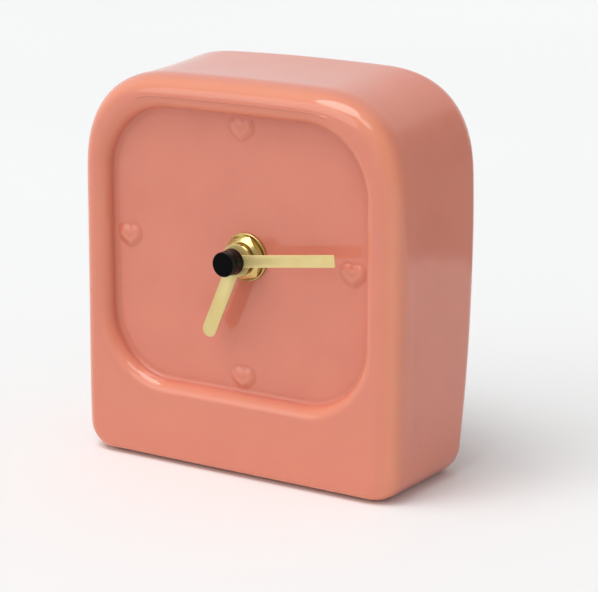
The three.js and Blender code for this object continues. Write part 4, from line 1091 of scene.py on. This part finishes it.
def meshing_phase(first_teeth, first_phase, way, second_teeth):
    """Where a tooth of the second gear points, so that it meshes with the first."""
    first_share = (way - first_phase) * first_teeth / (2 * math.pi)
    return way + math.pi - (0.5 - first_share) * 2 * math.pi / second_teeth


motion_phase = meshing_phase(cannon_teeth, 0, motion_way, motion_teeth)
setting_phase = meshing_phase(motion_teeth, motion_phase, setting_way, setting_teeth)


def knob_profile(angle):
    off = (angle + math.pi / knob_flutes) % (2 * math.pi / knob_flutes) - math.pi / knob_flutes
    middle = knob_radius + flute_out
    sideways = abs(middle * math.sin(off))
    rim = knob_radius
    if sideways < flute_radius:
        rim = min(rim, middle * math.cos(off) - math.sqrt(flute_radius**2 - sideways**2))
    leaf = tooth_radius(angle, setting_teeth, motion_module, setting_phase)
    steps = [
        (0, 0.7), (0.28, 0.7), (0.35, 0.8), (0.35, 1.7), (0.95, 1.7), (setting_arbor, 1.78),
        (setting_arbor, 2.9), (leaf, 2.9), (leaf, 4.3), (setting_arbor, 4.3),
        (setting_arbor, knob_front - 0.3), (setting_arbor + 0.3, knob_front),
        (rim - 0.35, knob_front), (rim - 0.1, knob_front + 0.1),
        (rim, knob_front + 0.35), (rim, knob_back - 0.5), (rim - 0.08, knob_back - 0.25),
        (rim - 0.25, knob_back - 0.07), (rim - 0.5, knob_back), (3.9, knob_back), (3.6, knob_back - 0.08),
        (3.3, knob_back - 0.4), (1.1, knob_back - 0.55), (0.95, knob_back - 0.42), (0.75, knob_back - 0.36),
        (0, knob_back - 0.36),
    ]
    return np.array([(radius, housing_out - depth) for radius, depth in steps])


spun(
    "fluted_knob", knob_profile, "setting_knob", "white_plastic", wheel_white, ["setting_knob"], sides=280,
    place=knob_place, closed=False,
)


# The cell: a steel can in a printed plastic sleeve, slate blue with a pale band at its positive end.
# The sleeve is shrunk over both ends, and the positive button stands in a sealing ring.
cell_start, cell_y, cell_z, cell_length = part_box("battery_can")[0].x / mm, -5.85, 46.5, 49.3
cell_radius, cell_end_radius, button_start, button_radius = 7.1, 5.15, 49.35, 2.75
pale_start, pale_line, pale_line_width, print_edge = 36.0, 1.9, 0.7, 0.1


def cell_profile(angle):
    pucker = 0.05 * math.sin(22 * angle) + 0.04 * math.sin(37 * angle + 1)
    far = cell_length
    return np.array([
        (0, 0.32), (3.9, 0.32), (4.25, 0.22), (4.4, 0.05), (5.0, 0), (5.25, 0.1), (5.4 + pucker, 0.12),
        (6.0 + pucker / 2, 0.02), (6.5, 0.12), (6.86, 0.42), (7.02, 0.8), (cell_radius, 1.3),
        (cell_radius, 2.2), (cell_radius - 0.05, 2.5), (cell_radius, 2.8), (cell_radius, far - 3.4),
        (cell_radius - 0.28, far - 2.9), (cell_radius - 0.28, far - 2.4), (cell_radius - 0.02, far - 1.9),
        (cell_radius, far - 1.4), (7.0, far - 0.75), (6.75, far - 0.3), (6.35, far - 0.06),
        (5.9 + pucker / 2, far), (5.2 + pucker, far - 0.1), (5.05, far - 0.28), (3.7, far - 0.3),
        (3.4, far - 0.12), (2.9, far - 0.12), (0, far - 0.1),
    ])


sleeve, sleeve_shader = new_finish("printed_sleeve", IOR=1.5, Coat_Weight=0.35, Coat_Roughness=0.08)
along_cell = add_node(sleeve, "ShaderNodeSeparateXYZ", {0: place_on(sleeve)}).outputs["X"]


def past(place, before=0, after=1):
    """One value before a place along the cell and another after it, with a printed edge between."""
    edge = (cell_start + place) * mm
    return levels(sleeve, along_cell, before, after, edge, edge + print_edge * mm)


line_start = pale_start - pale_line
line_share = worked(sleeve, "MULTIPLY", past(line_start + pale_line_width, 1, 0), past(line_start))
slate = mottled(sleeve, (5, 4, 0.6), (54, 68, 82), (62, 77, 92))
pale = mottled(sleeve, (4, 4, 0.6), (178, 181, 180), (190, 192, 190))
sleeve_tone = blend_colours(sleeve, past(pale_start), slate, pale)
sleeve_tone = blend_colours(sleeve, line_share, sleeve_tone, pale)
sleeve_gloss = levels(sleeve, noise(sleeve, 0.6, 3), 0.24, 0.38)
feed(sleeve, sleeve_shader, Base_Color=sleeve_tone, Roughness=sleeve_gloss)
shrink_marks = noise(sleeve, 2.2, 2, 0.5, (0.3, 1, 1))
relief(sleeve, sleeve_shader, (shrink_marks, 0.02), (noise(sleeve, 0.3, 2), 0.002))
nickel = even_finish(
    "nickelled_steel", patches=(2.5, 4, 0.6), tones=((182, 181, 176), (206, 205, 200)),
    grain=(0.9, 4), rough=(0.22, 0.38), bumps=[(0.35, 3, 0.6, (1, 0.1, 1), 0.004)], Metallic=1.0,
)
cell_line = dict(closed=False, start=(cell_start, cell_y, cell_z), way=(1, 0, 0))
cell = spun(
    "battery_cell", cell_profile, "battery", "battery", sleeve, ["battery_can"], sides=160, **cell_line
)


def on_bare_end(face):
    return math.hypot(face.center.y / mm - cell_y, face.center.z / mm - cell_z) < cell_end_radius


also_dress(cell, nickel, on_bare_end)


def button_profile(angle):
    return np.array([
        (0, button_start), (button_radius - 0.05, button_start), (button_radius, button_start + 0.05),
        (button_radius, button_start + 0.25), (button_radius - 0.12, button_start + 0.4),
        (button_radius - 0.2, button_start + 0.75), (button_radius - 0.35, button_start + 1.0),
        (button_radius - 0.65, button_start + 1.13), (1.0, button_start + 1.15), (0, button_start + 1.12),
    ])


spun(
    "battery_cap_button", button_profile, "battery", "steel", nickel, ["battery_button"], sides=96,
    **cell_line,
)


# The contacts: strips of nickelled spring steel, bent so that the nose presses on the cell's end, and
# pushed into the bay's end walls from behind.
for end in ("positive", "negative"):
    eased_copy(end + "_spring", end + "_contact", "case", nickel, ease=0.06)


# The wheels: moulded in white acetal in one with their pinions and arbors. The wheel between the
# minute tube and the hour wheel runs on a stud, and the others run in bearings front and back.
for node in ("motion_wheel", "centre_wheel", "third_wheel", "seconds_wheel", "fifth_wheel"):
    eased_copy("moulded_" + node, node, node, wheel_white, ease=0.05)
eased_copy("moulded_rotor_pinion", "rotor_pinion", "rotor", wheel_white, ease=0.05)


# The rotor's magnet: a ring pressed from dark sintered ferrite on to the rotor's arbor, its edges
# slightly crumbled.
magnet_radius, magnet_bore, magnet_start, magnet_length = 3.0, 0.6, 8.7, 2.2
magnet_edge, magnet_rim, magnet_chips = 0.08, 0.18, 0.03


def magnet_profile(angle):
    front, back = housing_out - magnet_start, housing_out - magnet_start - magnet_length
    chip = magnet_chips * math.sin(17 * angle) * math.sin(5 * angle + 1)
    return eased([
        (magnet_bore, back, magnet_edge), (magnet_radius, back, magnet_rim + chip),
        (magnet_radius, front, magnet_rim - chip), (magnet_bore, front, magnet_edge),
    ])


ferrite = even_finish(
    "sintered_ferrite", patches=(0.8, 5, 0.7), tones=((72, 72, 76), (98, 98, 101)),
    grain=(0.4, 4), rough=(0.5, 0.7), bumps=[(0.15, 4, 0.7, 0.02)], Metallic=0.3, IOR=1.6,
)
spun("rotor_magnet_ring", magnet_profile, "rotor", "magnet", ferrite, ["rotor_magnet"], place=rotor_place)


# The bridge: a thin black moulded plate on two pillars across the middle of the movement, with the
# inner bearings of the fifth wheel and the rotor.
eased_copy("moulded_bridge", "train_bridge", "case", grained, ease=0.08)


# The motor: a stamped stator of silicon steel, and a core riveted across its arms that carries the
# bobbin. The bobbin is white plastic and is wound with fine enamelled copper wire, turn beside turn.
iron = even_finish(
    "silicon_steel", patches=(1.5, 4, 0.6, (0.2, 1, 1)), tones=((150, 151, 153), (182, 183, 184)),
    grain=(0.5, 3, 0.6, (0.1, 1, 1)), rough=(0.3, 0.46), bumps=[(0.2, 3, 0.6, (0.08, 1, 1), 0.004)],
    Metallic=0.9,
)
eased_copy("stamped_stator", "motor_stator", "case", iron, ease=0.06)

core_low, core_high = ([value / mm for value in corner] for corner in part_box("coil_core"))
(core_left, core_front, core_bottom), (core_right, core_back, core_top) = core_low, core_high
core_corner, rivet_from_end, rivet_radius, rivet_head = 0.7, 1.7, 0.85, 0.3
core_line = box_line(core_left, core_right, core_bottom, core_top, core_corner)
core_parts = [slab(core_line, core_front, core_back, 0.08)]
for x in (core_left + rivet_from_end, core_right - rivet_from_end):
    rivet_line = circle_line(x, (core_bottom + core_top) / 2, rivet_radius, 28)
    core_parts.append(slab(rivet_line, core_back - 0.1, core_back + rivet_head, 0.14))
make_piece("riveted_core", *joined(core_parts), "case", "steel", iron, ["coil_core"])
eased_copy("moulded_bobbin", "coil_bobbin", "case", wheel_white, ease=0.08)

winding_low, winding_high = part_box("coil_winding")
wire_pitch, wire_bulge, winding_corner, turn_steps = 0.3, 0.1, 0.7, 5
winding_wall_y, winding_wall_z, wall_corner = 1.2, 0.8, 0.2


def winding_ring(x, shrink_y, shrink_z, corner):
    """One ring of the winding across X, as a rounded rectangle in (y, z)."""
    low, high = winding_low / mm, winding_high / mm
    line = box_line(low.y + shrink_y, high.y - shrink_y, low.z + shrink_z, high.z - shrink_z, corner, 5)
    return np.insert(line, 0, x, 1)


wire_places = np.arange(winding_low.x / mm, winding_high.x / mm, wire_pitch / turn_steps)
wire_rise = wire_bulge * np.abs(np.sin(math.pi * (wire_places - wire_places[0]) / wire_pitch))
winding_rings = []
for x, shrink in zip(wire_places, wire_bulge - wire_rise):
    winding_rings.append(winding_ring(x, shrink, shrink, winding_corner))
for x in wire_places[[-1, 0]]:
    winding_rings.append(winding_ring(x, winding_wall_y, winding_wall_z, wall_corner))
copper = even_finish(
    "enamelled_copper", patches=(1.2, 3), tones=((176, 92, 44), (202, 116, 62)),
    grain=(0.4, 3), rough=(0.24, 0.36), bumps=[(0.12, 2, 0.5, (4, 0.3, 0.3), 0.01)],
    Metallic=1.0, Coat_Weight=0.6, Coat_Roughness=0.12,
)
make_piece(
    "copper_winding", np.concatenate(winding_rings) * mm,
    grid_faces(len(winding_rings), len(winding_rings[0])), "case", "copper_wire", copper, ["coil_winding"],
)


# The circuit board: green, with its copper tracks under the solder mask and tinned pads, and notched
# for the housing's ribs. The crystal's can lies on it and the chip is under a drop of black resin.
board_low, board_high = (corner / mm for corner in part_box("circuit_board"))
notch_z, notch_half, notch_deep, board_corner, pad_radius, pad_height = 70.5, 1.4, 1.0, 0.6, 0.55, 0.22
pad_inset, left_pads, right_pads = 1.6, (3, 2.6, 8), (1.8, 2.2, 2)


def board_line():
    line = box_line(board_low.x, board_high.x, board_low.z, board_high.z, board_corner)
    right, deep = board_high.x, board_high.x - notch_deep
    low, high = notch_z - notch_half, notch_z + notch_half
    return np.concatenate([line, [(right, low), (deep, low), (deep, high), (right, high)]])


mask, mask_shader = new_finish("green_solder_mask", IOR=1.5, Coat_Weight=0.5, Coat_Roughness=0.1)
upright = {"Vector": place_on(mask), "Rotation": (math.pi / 2, 0, 0), "Scale": (1 / (9 * mm),) * 3}
upright = add_node(mask, "ShaderNodeMapping", upright).outputs[0]
track_sizes = {"Mortar Size": 0.035, "Mortar Smooth": 0.1, "Brick Width": 0.6, "Row Height": 0.16}
tracks = add_node(mask, "ShaderNodeTexBrick", {"Vector": upright, **track_sizes}).outputs["Fac"]
bare_mask = mottled(mask, (3, 4, 0.6), (34, 84, 50), (42, 98, 58))
mask_tone = blend_colours(mask, tracks, bare_mask, paint(66, 128, 74))
feed(mask, mask_shader, Base_Color=mask_tone, Roughness=levels(mask, noise(mask, 0.8, 3), 0.26, 0.4))
relief(mask, mask_shader, (tracks, 0.03), (noise(mask, 0.3, 2), 0.003))
board_parts = [slab(board_line(), board_low.y, board_high.y, 0.06)]
board_faces = len(board_parts[0][1])
pad_rows = (board_low.x + pad_inset, left_pads), (board_high.x - pad_inset, right_pads)
for x, (first, step, count) in pad_rows:
    for i in range(count):
        pad_line = circle_line(x, board_low.z + first + step * i, pad_radius, 24)
        board_parts.append(slab(pad_line, board_high.y - 0.05, board_high.y + pad_height, 0.12))
board = make_piece("printed_board", *joined(board_parts), "case", "board", mask, ["circuit_board"])
solder = even_finish(
    "solder", patches=(0.7, 4), tones=((176, 178, 180), (206, 207, 207)),
    grain=(0.3, 3), rough=(0.2, 0.38), bumps=[(0.4, 2, 0.02)], Metallic=1.0,
)
also_dress(board, solder, lambda face: face.index >= board_faces)

crystal_low, crystal_high = (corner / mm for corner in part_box("quartz_crystal"))
crystal_middle = (crystal_low + crystal_high) / 2
crystal_length = crystal_high.z - crystal_low.z


def crystal_profile(angle):
    lead = 0.14
    return np.array([
        (0, 0), (lead, 0), (lead, 0.55), (0.5, 0.6), (0.62, 0.66), (0.9, 0.7), (1.0, 0.82), (1.0, 1.15),
        (0.95, 1.2), (0.95, 1.3), (1.0, 1.36), (1.0, crystal_length - 0.35), (0.93, crystal_length - 0.14),
        (0.75, crystal_length), (0, crystal_length),
    ])


spun(
    "crystal_can", crystal_profile, "case", "steel", nickel, ["quartz_crystal"], sides=64, closed=False,
    start=(crystal_middle.x, crystal_middle.y, crystal_low.z), way=(0, 0, 1),
)

chip_low, chip_high = (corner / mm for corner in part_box("chip_blob"))
chip_middle = (chip_low + chip_high) / 2
chip_radius, chip_height, dome_power = 2.55, chip_high.y - chip_low.y, 0.9


def resin_profile(angle):
    wander = 1 - 0.05 * (1 + math.sin(2 * angle + 0.6)) / 2 - 0.03 * (1 + math.sin(5 * angle)) / 2
    arch = [math.pi / 2 * i / 14 for i in range(15)]
    dome = [(chip_radius * wander * math.cos(a), chip_height * math.sin(a) ** dome_power) for a in arch]
    return np.array([(0, 0)] + dome)


resin = even_finish(
    "black_resin", patches=(1.5, 3), tones=((14, 14, 16), (26, 26, 28)),
    grain=(0.8, 3), rough=(0.16, 0.3), bumps=[(1.3, 2, 0.03)],
    IOR=1.55, Coat_Weight=0.3, Coat_Roughness=0.06,
)
spun(
    "resin_drop", resin_profile, "case", "black_cap", resin, ["chip_blob"], sides=72, closed=False,
    start=(chip_middle.x, chip_low.y, chip_middle.z), way=(0, 1, 0),
)


# Floor and light: a sweep of white paper under three soft lamps. A strong one is nearly overhead, a
# weaker one is lower at the front left, and a faint one is high at the front right. The room is pale,
# but what the case's side mirrors of it, at the right and on the paper behind, is in shade.
def soft_lamp(name, way, strength, spread):
    lamp_data = bpy.data.lights.new(name, "SUN")
    lamp_data.energy = strength
    lamp_data.angle = math.radians(spread)
    placed(name, lamp_data).rotation_euler = Vector(way).to_track_quat("Z", "Y").to_euler()


soft_lamp("front_lamp", (-0.4, -0.74, 0.54), strength=0.55, spread=42)
soft_lamp("overhead_lamp", (-0.19, -0.29, 0.94), strength=1.25, spread=34)
soft_lamp("right_lamp", (0.2, -0.47, 0.82), strength=0.25, spread=20)

room_light, room_seen, corner_seen, corner_reach, paper_glow = 0.44, 0.925, 0.42, (0.28, 0.44), 0.03
sweep_end, end_blur, sweep_side, side_blur, floor_half = 260 * mm, 10 * mm, 60 * mm, 30 * mm, 4.0


def seen_rays(finish):
    """1 for rays that see the room: straight, mirrored or through glass. 0 for rays that light things."""
    path = add_node(finish, "ShaderNodeLightPath").outputs
    seen = worked(finish, "ADD", path["Is Glossy Ray"], path["Is Transmission Ray"])
    seen = worked(finish, "ADD", path["Is Camera Ray"], seen)
    seen.node.use_clamp = True
    return seen, path["Is Glossy Ray"]


paper, paper_shader = new_finish("white_paper", Roughness=0.8)
paper_colour = mottled(paper, (400, 2), (244, 245, 245), (247, 248, 248))
seen, mirrored = seen_rays(paper)
glow = levels(paper, seen, 0, paper_glow, 0, 1)
feed(paper, paper_shader, Base_Color=paper_colour, Emission_Strength=glow)
paper_shader.inputs["Emission Color"].default_value = (1, 1, 1, 1)
where = add_node(paper, "ShaderNodeNewGeometry").outputs["Position"]
where = add_node(paper, "ShaderNodeSeparateXYZ", {0: where}).outputs
behind = levels(paper, where["Y"], 0, 1, sweep_end - end_blur, sweep_end + end_blur)
aside = levels(paper, where["X"], 0, 1, sweep_side - side_blur, sweep_side + side_blur)
shaded = worked(paper, "MULTIPLY", worked(paper, "MULTIPLY", behind, aside), mirrored)
shade = add_node(paper, "ShaderNodeEmission", {"Color": (1, 1, 1, 1), "Strength": corner_seen}).outputs[0]
paper_mix = add_node(paper, "ShaderNodeMixShader", {0: shaded, 1: paper_shader.outputs[0], 2: shade})
paper_out = paper.node_tree.nodes["Material Output"]
paper.node_tree.links.new(paper_mix.outputs[0], paper_out.inputs["Surface"])

floor_mesh = bpy.data.meshes.new("floor")
floor_ways = ((-1, -1), (1, -1), (1, 1), (-1, 1))
floor_mesh.from_pydata([(x * floor_half, y * floor_half, 0) for x, y in floor_ways], [], [(0, 1, 2, 3)])
floor_mesh.materials.append(paper)
floor = placed("floor", floor_mesh)

room = bpy.data.worlds.new("room")
room.use_nodes = True
seen, mirrored = seen_rays(room)
way = add_node(room, "ShaderNodeTexCoord").outputs["Generated"]
way = add_node(room, "ShaderNodeSeparateXYZ", {0: way}).outputs
corner = levels(room, way["X"], 1, corner_seen / room_seen, *corner_reach)
straight = levels(room, mirrored, room_seen, 0, 0, 1)
seen_level = worked(room, "MULTIPLY_ADD", worked(room, "MULTIPLY", corner, room_seen), mirrored, straight)
room_back = room.node_tree.nodes["Background"]
room_back.inputs["Color"].default_value = (1, 1, 1, 1)
room.node_tree.links.new(levels(room, seen, room_light, seen_level, 0, 1), room_back.inputs["Strength"])
bpy.context.scene.world = room
bpy.context.scene.view_settings.view_transform = "Standard"
